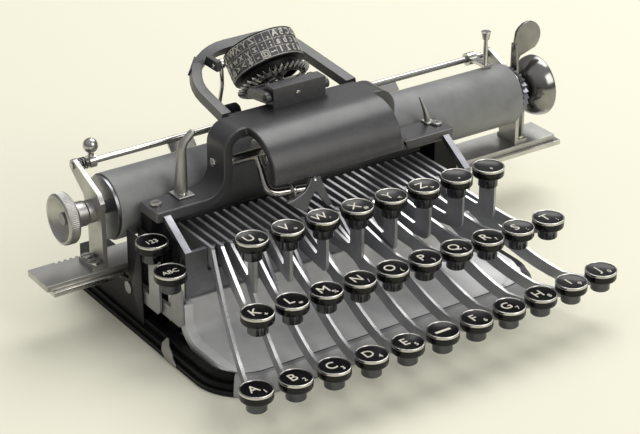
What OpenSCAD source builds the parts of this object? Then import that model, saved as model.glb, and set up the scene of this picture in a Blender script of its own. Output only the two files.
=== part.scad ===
// Portable type-wheel typewriter: keyboard, bridge frame, type wheel and carriage.
// X runs to the right, Y to the back, Z up; the origin is the middle of the base's underside.

/* [Base] */
// Width of the base over its rail
base_w = 186; // [180:1:200]
// Depth of the base over its rail
base_d = 145; // [140:1:160]
// Height of the moulded rail
rail_h = 9; // [8:0.5:11]
// Width of the moulded rail
rail_w = 6.5; // [6:0.5:9]
// Corner radius at the front
front_corner_r = 25; // [12:1:30]
// Corner radius at the back
back_corner_r = 12; // [6:1:20]
// Height of the ledge that carries the key tray
ledge_h = 6; // [3:0.5:7]
// Width of that ledge
ledge_w = 6; // [3:0.5:10]
// Width of the rib across the underside
rib_w = 8; // [4:1:12]
// Thickness of that rib
rib_t = 3; // [2:0.5:5]
// Thickness of each side wall
side_wall_t = 14; // [12:0.5:16]
// Front face of the side walls
side_wall_y = 4; // [3:0.5:6]
// Height of the side walls
side_wall_h = 50; // [44:0.5:52]
// Top of the carriage track
track_z = 22; // [20:0.5:22]
// Width of the carriage track from front to back
track_w = 13.5; // [10:0.5:20]
// Thickness of the key tray's sheet
tray_t = 1.2; // [0.8:0.1:1.6]
// Height of the rim along each side of the key tray, over its sheet
tray_rim = 2.2; // [1:0.2:3]
// Bend radius at the back of the key tray
tray_bend_r = 15; // [8:1:18]

/* [Keys] */
// Key spacing in the front row
front_pitch = 19; // [18:0.1:19.5]
// Key spacing in the middle row
middle_pitch = 17.8; // [17.2:0.1:18.4]
// Key spacing in the back row
back_pitch = 18.65; // [18.2:0.05:19]
// Distance of the front row before the origin
front_row_y = 105.5; // [100:0.5:110]
// Distance of the middle row before the origin
middle_row_y = 79.5; // [76:0.5:83]
// Distance of the back row before the origin
back_row_y = 52.3; // [50:0.1:55]
// Height of the front row's key tops
front_row_z = 26.2; // [24:0.2:32]
// Height of the middle row's key tops
middle_row_z = 48.4; // [44:0.2:52]
// Height of the back row's key tops
back_row_z = 68; // [65:0.5:72]
// How far the ends of the front row are set back
front_row_bow = 4; // [0:0.5:6]
// Diameter of a key cap
cap_d = 15.25; // [13:0.25:16]
// Height of a key cap
cap_h = 4.8; // [3:0.1:6]
// Diameter of the collar under a cap
collar_d = 9.3; // [7:0.1:11]
// Height of the collar
collar_h = 4.5; // [3:0.1:6]
// Width of the bright ring round a cap
ring_w = 0.8; // [0.4:0.1:1.2]
// Depth of the dish in a cap's top
dish_depth = 0.5; // [0.2:0.1:1]

/* [Levers] */
// Thickness of a lever plate
lever_t = 1.5; // [1:0.1:1.7]
// Height of a lever plate at the comb
lever_h = 10; // [8:0.5:11]
// Height of a lever plate at its key
lever_end_h = 4.5; // [3:0.5:6]
// Height of the levers' top edges
lever_top_z = 51; // [49:0.5:52]
// Clear space between the outer levers and the side walls
comb_margin = 8.5; // [8:0.1:10]
// Distance of the comb before the origin
comb_y = 19; // [16:0.5:20]
// Thickness of the comb plate
comb_t = 2; // [1.5:0.1:2.5]
// How far the comb plate reaches past a side wall's inner face
comb_lap = 4; // [2:0.5:4.5]
// Thickness of the comb's two sloping arms
comb_arm_t = 3.5; // [2:0.5:5]
// Height of the comb's teeth below the levers' top edges
comb_drop = 1; // [0.5:0.1:2]
// Clearance of a lever in its comb slot
comb_fit = 0.3; // [0.2:0.05:0.5]
// Distance of the pivot shaft behind the origin
pivot_y = 16; // [14:0.5:16.5]
// Height of the pivot shaft
pivot_z = 20; // [18:0.5:20]
// Diameter of the pivot shaft
pivot_d = 6; // [4:0.5:6]
// Radius of a lever's eye round the shaft
lever_eye_r = 4.5; // [4:0.1:4.6]
// Travel of a key lever in degrees
key_press = 3.5; // [2:0.5:4]
// Width of a back lever's post
post_w = 9; // [6:0.5:9]

/* [Shift keys] */
// Distance of the shift keys' middles from the base's left edge
shift_inset = 4; // [3:0.5:6]
// Distance of the figures key before the origin
figures_key_y = 5; // [4.5:0.5:8]
// Height of the figures key's top
figures_key_z = 53; // [50:0.5:56]
// Distance of the capitals key before the origin
capitals_key_y = 21; // [20.5:0.5:24]
// Height of the capitals key's top
capitals_key_z = 44.8; // [42:0.2:45.2]
// Height of the shift levers' lower edges
shift_bar_z = 16; // [15.5:0.5:18]
// Clear gap beside each shift lever
shift_gap = 0.6; // [0.4:0.1:0.8]

/* [Upper frame] */
// How far each foot stands inside the base's edge
foot_inset = 9; // [8:0.5:11]
// Height of the top of the feet
foot_z = 63.3; // [61:0.1:64]
// Thickness of the bridge casting
bridge_t = 5; // [4:0.5:5]
// Front edge of the bridge before the origin
bridge_front = 1.5; // [1:0.5:3]
// Back edge of the feet behind the origin
bridge_back = 14.2; // [12:0.1:14.4]
// Distance between the upright faces of the wings
wing_w = 96; // [90:1:104]
// Bend radius of the wings
wing_r = 10; // [8:0.5:11]
// Height of the deck
deck_z = 94; // [92:0.5:96]
// Back edge of the deck behind the origin
deck_back = 16; // [15.5:0.25:17]
// Length of the hood along X
hood_w = 71; // [60:1:75]
// Outer radius of the hood
hood_r = 20.5; // [16:0.5:22]
// Thickness of the hood's shell
hood_t = 4; // [2.5:0.5:5]
// Distance of the hood's axis before the origin
hood_y = 5.5; // [4:0.5:7]
// Diameter of the cross shaft under the hood
link_shaft_d = 5; // [4:0.5:6]
// Diameter of the disc on that shaft
link_disc_d = 14; // [10:0.5:15]
// Diameter of the bent rod on that shaft
link_rod_d = 4; // [3:0.2:4.4]
// Width of the fork's two limbs
link_fork_d = 5; // [3:0.2:5.4]
// Side of the rear loop's square bar
loop_bar = 5; // [4:0.5:5.5]
// Reach of the rear loop behind the type wheel's middle
loop_reach = 19.7; // [19.5:0.1:21]
// Height of the rear loop over the type wheel's middle
loop_rise = 3; // [2.5:0.1:4]
// Bend radius of the rear loop
loop_r = 13; // [8:1:14]

/* [Type wheel] */
// Diameter of the type wheel
wheel_d = 35; // [30:0.5:35.5]
// Height of the type wheel
wheel_h = 18; // [14:0.5:18]
// Wall of the type wheel
wheel_wall = 2.5; // [1.5:0.1:4]
// How far the type stands out
type_relief = 0.4; // [0.2:0.1:0.6]
// Rows of type
type_rows = 3; // [2:1:4]
// Lean of the wheel's axis from upright
wheel_lean = 46; // [44:1:48]
// Distance of the wheel's centre behind the origin
wheel_y = 38.3; // [37.5:0.1:39]
// Height of the wheel's centre
wheel_z = 104.6; // [104:0.1:106]
// Diameter of the wheel's shaft
wheel_shaft_d = 6; // [4:0.5:6]
// Teeth of the toothed wheel
gear_teeth = 44; // [28:1:48]
// Diameter of the toothed wheel over its teeth
gear_d = 37; // [33:0.5:37]
// Thickness of the toothed wheel
gear_t = 2; // [1:0.1:2]
// Width of the bearing block on the deck
block_w = 29; // [24:1:29]
// Height of the bearing block
block_h = 10; // [8:0.5:11]
// Distance of the wheel arm's pin behind the origin
arm_pin_y = 12; // [11.5:0.1:12.5]
// Height of that pin above the deck
arm_pin_up = 5; // [5:0.1:6]
// Diameter of that pin
arm_pin_d = 2.5; // [2:0.1:2.6]
// Diameter of the wheel arm's cross bar
arm_bar_d = 4; // [3:0.5:4.5]
// Thickness of the wheel arm's cheeks
cheek_t = 2.5; // [1.5:0.1:3]
// Diameter of the ink arm's wire
ink_wire_d = 2.4; // [1.6:0.1:2.6]
// Drop of the ink roller below its arm's pin
ink_drop = 28; // [27.8:0.1:28.4]
// Diameter of the ink roller
ink_roller_d = 8; // [6:0.5:8]
// Length of the ink roller
ink_roller_w = 10; // [8:0.5:10]

/* [Carriage] */
// How far the carriage stands to the right at rest
carriage_shift = 19; // [0:1:25]
// Length of the carriage plate
plate_w = 298; // [290:1:310]
// Depth of the carriage plate
plate_d = 19.5; // [19:0.5:20]
// Thickness of the carriage plate
plate_t = 3; // [2:0.5:4]
// Top of the carriage plate
plate_z = 30; // [29.5:0.5:31]
// Front edge of the carriage plate behind the origin
plate_y = 20.5; // [20:0.25:21]
// How far the lower strip stands before the plate
strip_step = 2; // [1:0.25:2]
// Gap between the carriage's runners and their track
runner_gap = 0.3; // [0.2:0.05:0.4]
// Diameter of the platen
platen_d = 32; // [28:0.5:32]
// Length of the platen
platen_w = 234; // [225:1:236]
// Distance of the platen's axis behind the origin
platen_y = 32; // [31.5:0.25:33]
// Height of the platen's axis
platen_z = 55.5; // [54:0.25:56]
// Thickness of the platen's rubber
rubber_t = 4; // [2:0.5:5]
// Diameter of the platen's axle
axle_d = 6; // [4:0.5:6]
// Thickness of the end brackets
bracket_t = 2.3; // [1.5:0.1:2.5]
// Width of the end brackets
bracket_w = 13.5; // [12:0.5:15]
// Length of the end brackets' feet
bracket_foot = 8; // [7:0.5:9]
// Diameter of the platen knob
knob_d = 24.6; // [20:0.2:25]
// Length of the platen knob
knob_w = 13.5; // [10:0.5:16]
// Width of the knob's rim
knob_rim_w = 6; // [5:0.5:8]
// Diameter of the bell
bell_d = 32.2; // [28:0.2:36]
// Depth of the bell
bell_h = 11.5; // [10:0.5:18]
// Wall of the bell
bell_wall = 1.4; // [0.8:0.1:2]
// Length of the line-space lever up to its blade
space_lever_l = 25.5; // [23:0.5:27]
// Length of that blade below the lever's end
blade_neck = 12.5; // [11:0.5:14]
// Radius of that blade's round end
blade_r = 8.5; // [7:0.5:9]
// Diameter of the paper rod
rod_d = 3.2; // [2:0.1:3.4]
// Distance of the paper rod behind the origin
rod_y = 48; // [47.5:0.5:50]
// Height of the paper rod
rod_z = 72; // [71.5:0.5:73]
// Diameter of the ball on its lever
ball_d = 7.3; // [6:0.1:8]
// Width of the release arm on the rod
release_w = 5; // [4:0.5:6]
// Reach of the release arm before the rod
release_reach = 15; // [13:0.5:16]
// Height of the release lever over its arm
release_h = 19; // [15:0.5:20]
// Wire of the rod's spring
spring_wire = 0.9; // [0.6:0.05:0.95]
// Spacing of that spring's curls
spring_pitch = 1.45; // [1.4:0.05:1.6]
// Curls of that spring
spring_turns = 3; // [2:1:3]

/* [Fittings] */
// Height of the left paper guide over its foot
guide_h = 28; // [24:0.5:30]
// Width of a hold-down clip
clip_w = 8; // [6:0.5:10]
// Sheet of a hold-down clip
clip_t = 1.2; // [0.8:0.1:1.6]
// How far a hold-down clip reaches over the rail
clip_lap = 7; // [5:0.5:9]
// Distance of the hold-down clips before the origin
clip_y = 23; // [22:0.5:30]
// Diameter of a screw head
screw_d = 5.4; // [4:0.2:6]
// Height of a screw head
screw_h = 1.3; // [1:0.1:2]

/* [Fits] */
// Running clearance of a shaft in its bore
running_fit = 0.05; // [0.02:0.01:0.1]
// Clearance of pieces that are fixed together
seat_fit = 0.05; // [0.02:0.01:0.1]
// Gap between pieces that pass each other
pass_gap = 0.4; // [0.3:0.05:0.5]

/* [Hidden] */
$fn = 48;
ARC_STEPS = 10;

// Which row each lever of the comb serves, from left to right
LEVER_ORDER = "FMBFMFBMFBMFBMFMBFMBFMBFMFBMF";
FRONT_KEYS = 11;
MIDDLE_KEYS = 10;
BACK_KEYS = 8;

function key_names(row, count) = [for (i = [1:count]) str("key_", row, "_", i)];

FRONT_NAMES = key_names("front", FRONT_KEYS);
MIDDLE_NAMES = key_names("middle", MIDDLE_KEYS);
BACK_NAMES = key_names("back", BACK_KEYS);

JAPAN = "#1b1b1f";
NICKEL = "#c9c9cc";
STEEL = "#8f9094";
TRAY_GREY = "#b9babd";
CELLULOID = "#101012";
RUBBER = "#5c5b60";
FELT = "#3a3350";

// Base derived sizes
base_hw = base_w / 2;
base_front = -base_d / 2;
wall_out_x = base_hw - 2.5;
wall_in_x = wall_out_x - side_wall_t;
track_front = plate_y + strip_step;
track_back = track_front + track_w;
shaft_wall_z = pivot_z + lever_eye_r - 0.5;
foot_under_z = foot_z - bridge_t;
tray_back_y = -comb_y - comb_t / 2;
tray_top_z = 26.8;
bridge_w = base_w - 2 * foot_inset;

// Lever derived sizes
bend_y = -comb_y - comb_t / 2 - 3;
comb_top_z = lever_top_z - comb_drop;
slot_bottom_z = lever_top_z - lever_h - (pivot_y + comb_y + comb_t) * sin(key_press) - pass_gap;
lever_count = len(LEVER_ORDER);
comb_w = 2 * (wall_in_x + comb_lap);
comb_pitch = 2 * (wall_in_x - comb_margin) / (lever_count - 1);
tongue_h = 2;
tongue_w = collar_d - 4.5;
key_drop = cap_h + collar_h;
figures_key_x = base_hw - shift_inset;
figures_lever_x = -figures_key_x + 0.8;
capitals_lever_x = figures_lever_x + lever_t + shift_gap;
shift_slot_out = figures_lever_x - lever_t / 2 - shift_gap;
shift_slot_in = capitals_lever_x + lever_t / 2 + shift_gap;
tray_hw = min(-shift_slot_in, base_hw - rail_w - seat_fit);

// Upper frame derived sizes
wing_x = wing_w / 2;
hood_axis_z = deck_z - hood_r;
deck_hw = wing_x - wing_r;

// Type wheel derived sizes
arm_pin_z = deck_z + arm_pin_up;
block_hw = block_w / 2;
block_back = deck_back - 0.5;
block_front = 2 * arm_pin_y - block_back;
gear_axial = -wheel_h / 2 - gear_t;
arm_bar_axial = gear_axial - gear_t / 2 - 3;
arm_bar_off = 4.2;
wheel_dir = [0, sin(wheel_lean), cos(wheel_lean)];
wheel_up = [0, -cos(wheel_lean), sin(wheel_lean)];
wheel_c = [0, wheel_y, wheel_z];
arm_bar = wheel_c + arm_bar_axial * wheel_dir + arm_bar_off * wheel_up;
ink_x = -gear_d / 2 - ink_wire_d / 2 - 1.8;
ink_pin = [ink_x, wheel_y + 4.7, wheel_z + 1.9];
ink_axis = [ink_x, ink_pin[1] + 4, ink_pin[2] - ink_drop];
loop_end_x = deck_hw - loop_bar / 2;
loop_end_z = deck_z - bridge_t / 2;
loop_top = [wheel_y + loop_reach, wheel_z + loop_rise];

// Carriage derived sizes
plate_left = carriage_shift - plate_w / 2;
plate_right = carriage_shift + plate_w / 2;
plate_back = plate_y + plate_d;
strip_y = plate_y - strip_step;
strip_top = plate_z - plate_t;
strip_t = 2.5;
platen_left = carriage_shift + 6 - platen_w / 2;
platen_right = carriage_shift + 6 + platen_w / 2;
core_r = platen_d / 2 - rubber_t;
axle_r = axle_d / 2;
left_plate_x = platen_left - 5.5 - bracket_t;
right_plate_x = platen_right + 0.6;
ratchet_x = right_plate_x + bracket_t + pass_gap;
ratchet_t = 3;
ratchet_r = platen_d / 2 - 3;
space_lever_x = ratchet_x + ratchet_t + pass_gap;
space_lever_t = 1.6;
bell_post_x = space_lever_x + space_lever_t + pass_gap;
bell_post_t = 1.5;
bell_x = bell_post_x + bell_post_t;
boss_w = 3.2;
knob_right = left_plate_x - boss_w - pass_gap;
knob_left = knob_right - knob_w;
bracket_y = platen_y - bracket_w / 2 - 3;
spring_r = rod_d / 2 + 0.5 + spring_wire / 2;
spring_x = left_plate_x + bracket_t + spring_wire / 2 + 0.1;
ball_hub_x = spring_x + spring_pitch * spring_turns + spring_wire / 2 + 0.4;
ball_up = 8;
release_x = platen_right - 13;

// Points on an arc about centre c from angle a0 to a1
function arc_pts(c, r, a0, a1, steps = ARC_STEPS) =
    [for (i = [0:steps]) c + r * [cos(a0 + (a1 - a0) * i / steps), sin(a0 + (a1 - a0) * i / steps)]];

// Plan outline with round corners, rf at the front and rb at the back
function plan_pts(hw, y0, y1, rf, rb) = concat(
    arc_pts([-hw + rf, y0 + rf], rf, 180, 270), arc_pts([hw - rf, y0 + rf], rf, 270, 360),
    arc_pts([hw - rb, y1 - rb], rb, 0, 90), arc_pts([-hw + rb, y1 - rb], rb, 90, 180));

// The base's outline drawn in by a distance
function base_pts(inset) = plan_pts(base_hw - inset, base_front + inset, -base_front - inset,
    front_corner_r - inset, max(back_corner_r - inset, 1));

function unit(v) = v / norm(v);

// A route with each inner corner rounded by a curve of the given reach
function round_route(p, r, steps = 6) = [
    for (i = [0:len(p) - 1])
        let (inner = i > 0 && i < len(p) - 1,
             a = inner ? p[i] + r * unit(p[i - 1] - p[i]) : p[i],
             b = inner ? p[i] + r * unit(p[i + 1] - p[i]) : p[i])
        for (k = [0:inner ? steps : 0])
            let (t = k / steps)
            (1 - t) * (1 - t) * a + 2 * t * (1 - t) * p[i] + t * t * b];

// Place of a key's top centre
function row_x(i, count, pitch) = (i - (count - 1) / 2) * pitch;
function front_key(i) = let (x = row_x(i, FRONT_KEYS, front_pitch), x_end = row_x(0, FRONT_KEYS, front_pitch))
    [x, -front_row_y + front_row_bow * pow(x / x_end, 2), front_row_z];
function middle_key(i) = [row_x(i, MIDDLE_KEYS, middle_pitch), -middle_row_y, middle_row_z];
function back_key(i) = [row_x(i, BACK_KEYS, back_pitch), -back_row_y, back_row_z];

// Comb place of the i-th lever of a row
function comb_x(row, i) = ([for (k = [0:lever_count - 1]) if (LEVER_ORDER[k] == row) k][i]
    - (lever_count - 1) / 2) * comb_pitch;

// A plate lying in the YZ plane about x
module plate_yz(x, t, pts) {
    translate([x, 0, 0]) rotate([90, 0, 90]) linear_extrude(t, center = true) polygon(pts);
}

// A block between two corners
module block(lo, hi) {
    translate(lo) cube(hi - lo);
}

// A round bar along X
module bar_x(x0, x1, y, z, d) {
    translate([x0, y, z]) rotate([0, 90, 0]) cylinder(d = d, h = x1 - x0);
}

// Moves a shape drawn along Z onto the type wheel's leaning axis
module on_wheel_axis() {
    translate(wheel_c) rotate([-wheel_lean, 0, 0]) children();
}

// Round part drawn by its radius and its place along X
module turned_x(y, z, pts) {
    translate([0, y, z]) rotate([0, 90, 0]) rotate_extrude() polygon(pts);
}

module base_frame() {
    steps = [[0, 0.28], [1.2, 0.62], [3.4, 1]];
    color(JAPAN) difference() {
        union() {
            difference() {
                union() for (s = steps) linear_extrude(rail_h * s[1]) polygon(base_pts(s[0]));
                translate([0, 0, -1]) linear_extrude(rail_h + 2) polygon(base_pts(rail_w + ledge_w));
                translate([0, 0, ledge_h]) linear_extrude(rail_h) polygon(base_pts(rail_w));
            }
            for (s = [-1, 1]) side_wall(s);
            block([-base_hw + rail_w, -rib_w / 2, 0], [base_hw - rail_w, rib_w / 2, rib_t]);
            block([-wall_in_x - 1, track_front, track_z - 5], [wall_in_x + 1, track_back, track_z]);
        }
        bar_x(-base_hw - 1, base_hw + 1, pivot_y, pivot_z, pivot_d + 2 * seat_fit);
        block([shift_slot_out, side_wall_y - 1, rail_h],
            [shift_slot_in, pivot_y + lever_eye_r + 1, side_wall_h + 1]);
    }
}

// Upright wall at one side, with the pillar that carries a bridge foot
module side_wall(s) {
    block_back_y = min(strip_y - pass_gap, platen_y - max(platen_d, bell_d) / 2);
    wall_pts = [[side_wall_y, 1], [side_wall_y, side_wall_h], [block_back_y, side_wall_h],
        [block_back_y, shaft_wall_z], [track_front, shaft_wall_z], [track_front, track_z],
        [-base_front - rail_w - 2, track_z], [-base_front - rail_w - 2, 1]];
    pillar_pts = [[side_wall_y, side_wall_h - 5], [side_wall_y, foot_under_z], [bridge_back - 1, foot_under_z],
        [block_back_y - 2, side_wall_h], [block_back_y - 2, side_wall_h - 5]];
    plate_yz(s * (wall_in_x + wall_out_x) / 2, side_wall_t, wall_pts);
    plate_yz(s * (wall_in_x + bridge_w / 2) / 2, bridge_w / 2 - wall_in_x, pillar_pts);
}

// Upper outline of the tray's sheet or rim, t above its underside
function tray_top(bend, t) = concat([[tray_back_y - t, tray_top_z]], arc_pts(bend, tray_bend_r - t, 360, 270),
    [[base_front, ledge_h + t]]);

module key_tray() {
    bend = [tray_back_y - tray_bend_r, ledge_h + tray_bend_r];
    low = concat([[base_front, ledge_h]], arc_pts(bend, tray_bend_r, 270, 360), [[tray_back_y, tray_top_z]]);
    color(TRAY_GREY) intersection() {
        union() {
            plate_yz(0, 2 * tray_hw, concat(low, tray_top(bend, tray_t)));
            for (s = [-1, 1])
                plate_yz(s * (tray_hw - tray_t), 2 * tray_t, concat(low, tray_top(bend, tray_t + tray_rim)));
        }
        linear_extrude(side_wall_h) polygon(base_pts(rail_w + seat_fit));
    }
}

module lever_comb() {
    slot_w = lever_t + 2 * comb_fit;
    front = -comb_y - comb_t / 2;
    arm_pts = [[front, comb_top_z - 4], [front, comb_top_z], [-bridge_front - seat_fit, foot_z - 2],
        [-bridge_front - seat_fit, foot_under_z], [front + comb_t, comb_top_z - 4]];
    color(STEEL) {
        difference() {
            block([-comb_w / 2, front, tray_top_z], [comb_w / 2, front + comb_t, comb_top_z]);
            for (k = [0:lever_count - 1])
                translate([(k - (lever_count - 1) / 2) * comb_pitch - slot_w / 2, front - 1, slot_bottom_z])
                    cube([slot_w, comb_t + 2, comb_top_z]);
        }
        for (s = [-1, 1]) plate_yz(s * (comb_w - comb_arm_t) / 2, comb_arm_t, arm_pts);
    }
}

module pivot_shaft() {
    color(STEEL) bar_x(-wall_out_x - 0.6, wall_out_x + 0.6, pivot_y, pivot_z, pivot_d);
}

// Rear half of a lever: eye on the shaft, leg and straight arm through the comb
module lever_rear(x) {
    under = lever_top_z - lever_h;
    plate_yz(x, lever_t, [[bend_y, under], [bend_y, lever_top_z], [pivot_y - 9, lever_top_z],
        [pivot_y - 0.5, pivot_z + lever_eye_r - 0.8], [pivot_y - lever_eye_r + 0.3, pivot_z],
        [pivot_y - 15, under]]);
    bar_x(x - lever_t / 2, x + lever_t / 2, pivot_y, pivot_z, 2 * lever_eye_r);
    translate([x, bend_y, under - 0.2]) cylinder(d = lever_t + 0.4, h = lever_h + 0.4);
}

// Cap and collar of a key, with the slot that takes the lever's tongue
module key_top(p, turn, slot_x = 0) {
    r = cap_d / 2;
    translate(p) rotate([0, 0, turn]) difference() {
        rotate_extrude() polygon([[0, -key_drop], [collar_d / 2, -key_drop], [collar_d / 2, -cap_h],
            [r - 0.5, -cap_h], [r, -cap_h + 0.5], [r, -0.4], [r - 0.3, 0], [r - ring_w, 0],
            [r - ring_w, -dish_depth], [0, -dish_depth]]);
        translate([slot_x - lever_t / 2 - seat_fit, -tongue_w / 2 - seat_fit, -key_drop - 1])
            cube([lever_t + 2 * seat_fit, tongue_w + 2 * seat_fit, tongue_h + seat_fit + 1]);
    }
}

// One whole key: lever, fanned arm and key top; rise bends the arm, post lifts the key on an upright
module key(x, p, rise, post = false) {
    d = [p[0] - x, p[1] - bend_y];
    reach = norm(d);
    turn = atan2(d[0], -d[1]);
    seat_z = p[2] - key_drop - seat_fit;
    half = tongue_w / 2;
    tongue = [[-reach + half, seat_z], [-reach + half, seat_z + tongue_h], [-reach - half, seat_z + tongue_h],
        [-reach - half, seat_z]];
    arm = post ? post_arm(reach, seat_z, tongue) : bent_arm(reach, seat_z, rise, tongue);
    color(STEEL) difference() {
        union() {
            lever_rear(x);
            translate([x, bend_y, 0]) rotate([0, 0, turn]) plate_yz(0, lever_t, arm);
        }
        bar_x(x - lever_t, x + lever_t, pivot_y, pivot_z, pivot_d + 2 * running_fit);
    }
    color(CELLULOID) key_top(p, turn);
}

// Outline of an arm that sweeps down and levels out under its key
function bent_arm(reach, seat_z, rise, tongue) =
    let (flat = reach - collar_d / 2,
         tip = reach + collar_d / 2 - 0.5,
         top = [for (k = [0:ARC_STEPS]) [-flat * k / ARC_STEPS,
             seat_z + (lever_top_z - seat_z) * pow(1 - k / ARC_STEPS, rise)]],
         low = [for (k = [ARC_STEPS:-1:0]) top[k] - [0, lever_h + (lever_end_h - lever_h) * k / ARC_STEPS]])
    concat(top, tongue, [[-tip, seat_z], [-tip, seat_z - lever_end_h + 1], [-tip + 1, seat_z - lever_end_h]],
        low);

// Outline of a short arm that dips and then stands up in a post under its key
function post_arm(reach, seat_z, tongue) =
    let (half = post_w / 2, under = lever_top_z - lever_h, r = 4)
    concat([[0, lever_top_z], [-reach + half + 1.5, lever_top_z - 4.5], [-reach + half, lever_top_z - 3.5],
        [-reach + half, seat_z]], tongue, [[-reach - half, seat_z]],
        arc_pts([-reach - half + r, under + r], r, 180, 270, 5), [[0, under]]);

module key_front(i) {
    key(comb_x("F", i), front_key(i), 1.9);
}

module key_middle(i) {
    key(comb_x("M", i), middle_key(i), 1.3);
}

module key_back(i) {
    key(comb_x("B", i), back_key(i), 1, post = true);
}

// A shift lever: low bar from the shaft and an upright post with its key top
module shift_key(x, p) {
    seat_z = p[2] - key_drop - seat_fit;
    half = tongue_w / 2;
    bar_top = shift_bar_z + 7;
    front = p[1] - collar_d / 2;
    pts = [[pivot_y, shift_bar_z], [front + 2, shift_bar_z], [front, shift_bar_z + 2], [front, seat_z],
        [p[1] - half, seat_z], [p[1] - half, seat_z + tongue_h], [p[1] + half, seat_z + tongue_h],
        [p[1] + half, seat_z], [p[1] + collar_d / 2, seat_z], [p[1] + collar_d / 2, bar_top],
        [pivot_y, bar_top]];
    color(STEEL) difference() {
        union() {
            plate_yz(x, lever_t, pts);
            bar_x(x - lever_t / 2, x + lever_t / 2, pivot_y, pivot_z, 2 * lever_eye_r);
        }
        bar_x(x - lever_t, x + lever_t, pivot_y, pivot_z, pivot_d + 2 * running_fit);
    }
    color(CELLULOID) key_top(p, 0, x - p[0]);
}

module figures_key() {
    shift_key(figures_lever_x, [-figures_key_x, -figures_key_y, figures_key_z]);
}

module capitals_key() {
    shift_key(capitals_lever_x, [-figures_key_x, -capitals_key_y, capitals_key_z]);
}

module upper_frame() {
    hw = bridge_w / 2;
    low = [wing_x + wing_r, foot_z + wing_r];
    high = [deck_hw, deck_z - wing_r];
    half_top = concat([[hw, foot_z]], arc_pts(low, wing_r, 270, 180), arc_pts(high, wing_r, 0, 90));
    half_under = concat([[hw, foot_under_z]], arc_pts(low, wing_r + bridge_t, 270, 180),
        arc_pts(high, wing_r - bridge_t, 0, 90));
    mirrored = [for (i = [len(half_top) - 1:-1:0]) [-half_top[i][0], half_top[i][1]]];
    mirrored_under = [for (i = [0:len(half_under) - 1]) [-half_under[i][0], half_under[i][1]]];
    under_back = [for (i = [len(half_under) - 1:-1:0]) half_under[i]];
    axis = [-hood_y, hood_axis_z];
    hood_pts = concat([[deck_back, deck_z]], arc_pts(axis, hood_r, 90, 180),
        arc_pts(axis, hood_r - hood_t, 180, 90), [[deck_back, deck_z - hood_t]]);
    color(JAPAN) {
        translate([0, bridge_back, 0]) rotate([90, 0, 0]) linear_extrude(bridge_back + bridge_front)
            polygon(concat(half_top, mirrored, mirrored_under, under_back));
        plate_yz(0, hood_w, hood_pts);
    }
}

// Bar with a many-sided section swept along a route; ref is never along the route
module swept_bar(p, across, sides, ref) {
    n = len(p);
    r = across / 2 / cos(180 / sides);
    rings = [for (i = [0:n - 1])
        let (t = unit(p[min(i + 1, n - 1)] - p[max(i - 1, 0)]), a = unit(cross(ref, t)), b = cross(t, a))
        for (k = [0:sides - 1]) let (w = (k + 0.5) * 360 / sides) p[i] + r * (cos(w) * a + sin(w) * b)];
    walls = [for (i = [0:n - 2]) for (k = [0:sides - 1]) let (m = (k + 1) % sides, q = sides * i)
        each [[q + k, q + sides + k, q + sides + m], [q + k, q + sides + m, q + m]]];
    last = sides * (n - 1);
    ends = [for (k = [1:sides - 2]) each [[0, k, k + 1], [last, last + k + 1, last + k]]];
    polyhedron(rings, concat(walls, ends));
}

module rear_loop() {
    start_y = deck_back - 2;
    lug_front = ink_pin[1] - 2.5;
    lug_x = ink_x - ink_wire_d / 2 - pass_gap;
    corner_x = lug_x - pass_gap;
    route = [[-loop_end_x, start_y, loop_end_z], [corner_x - 12, loop_top[0] - 10, loop_top[1] - 9.1],
        [corner_x, loop_top[0], loop_top[1]], [20, loop_top[0], loop_top[1]],
        [loop_end_x, start_y, loop_end_z]];
    lug_back = loop_top[0] - loop_bar / 2 - 2.8;
    color(JAPAN) {
        difference() {
            union() {
                swept_bar(round_route(route, loop_r), loop_bar, 4, [0, -0.5, 0.85]);
                plate_yz(lug_x - 1.2, 2.4, [[lug_front, ink_pin[2] - 2.5], [lug_front, ink_pin[2] + 2.5],
                    [lug_back - 2.9, ink_pin[2] + 2.5], [lug_back, ink_pin[2] - 2.5]]);
            }
            bar_x(lug_x - 5, lug_x + 1, ink_pin[1], ink_pin[2], ink_wire_d);
            block([-wing_x, start_y - 10, loop_end_z - 20], [wing_x, deck_back + seat_fit, loop_end_z + 20]);
        }
    }
}

module bearing_block() {
    color(JAPAN) difference() {
        block([-block_hw, block_front, deck_z], [block_hw, block_back, deck_z + block_h]);
        bar_x(-block_hw - 1, block_hw + 1, arm_pin_y, arm_pin_z, arm_pin_d + 2 * seat_fit);
    }
    pin_hw = block_hw + pass_gap + cheek_t + 0.8;
    color(STEEL) bar_x(-pin_hw, pin_hw, arm_pin_y, arm_pin_z, arm_pin_d);
}

module hood_linkage() {
    shaft = [2, hood_axis_z + 4];
    span = wing_x - bridge_t - 0.2;
    disc_x = -hood_w / 2 + 8;
    foot_up = lever_top_z + link_fork_d / 2 + 1.5;
    crank = [[disc_x - 1, shaft[0], shaft[1]], [disc_x - 1, shaft[0] - 8, foot_up + 11],
        [disc_x + 4, -14, foot_up + 3], [disc_x + 18, -15, foot_up + 2]];
    fork_left = [[-2, shaft[0], shaft[1]], [-2, -11, foot_up + 14], [-12, -15, foot_up]];
    fork_right = [[-2.5, -10, foot_up + 14], [7, -15, foot_up]];
    color(NICKEL) {
        bar_x(-span, span, shaft[0], shaft[1], link_shaft_d);
        bar_x(disc_x, disc_x + 2, shaft[0], shaft[1], link_disc_d);
        swept_bar(round_route(crank, 4), link_rod_d, 8, [0.8, 0.2, -0.6]);
        swept_bar(round_route(fork_left, 4), link_fork_d, 8, [0.8, -0.6, 0]);
        swept_bar(fork_right, link_fork_d, 8, [0.8, 0.6, 0]);
    }
}

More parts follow.
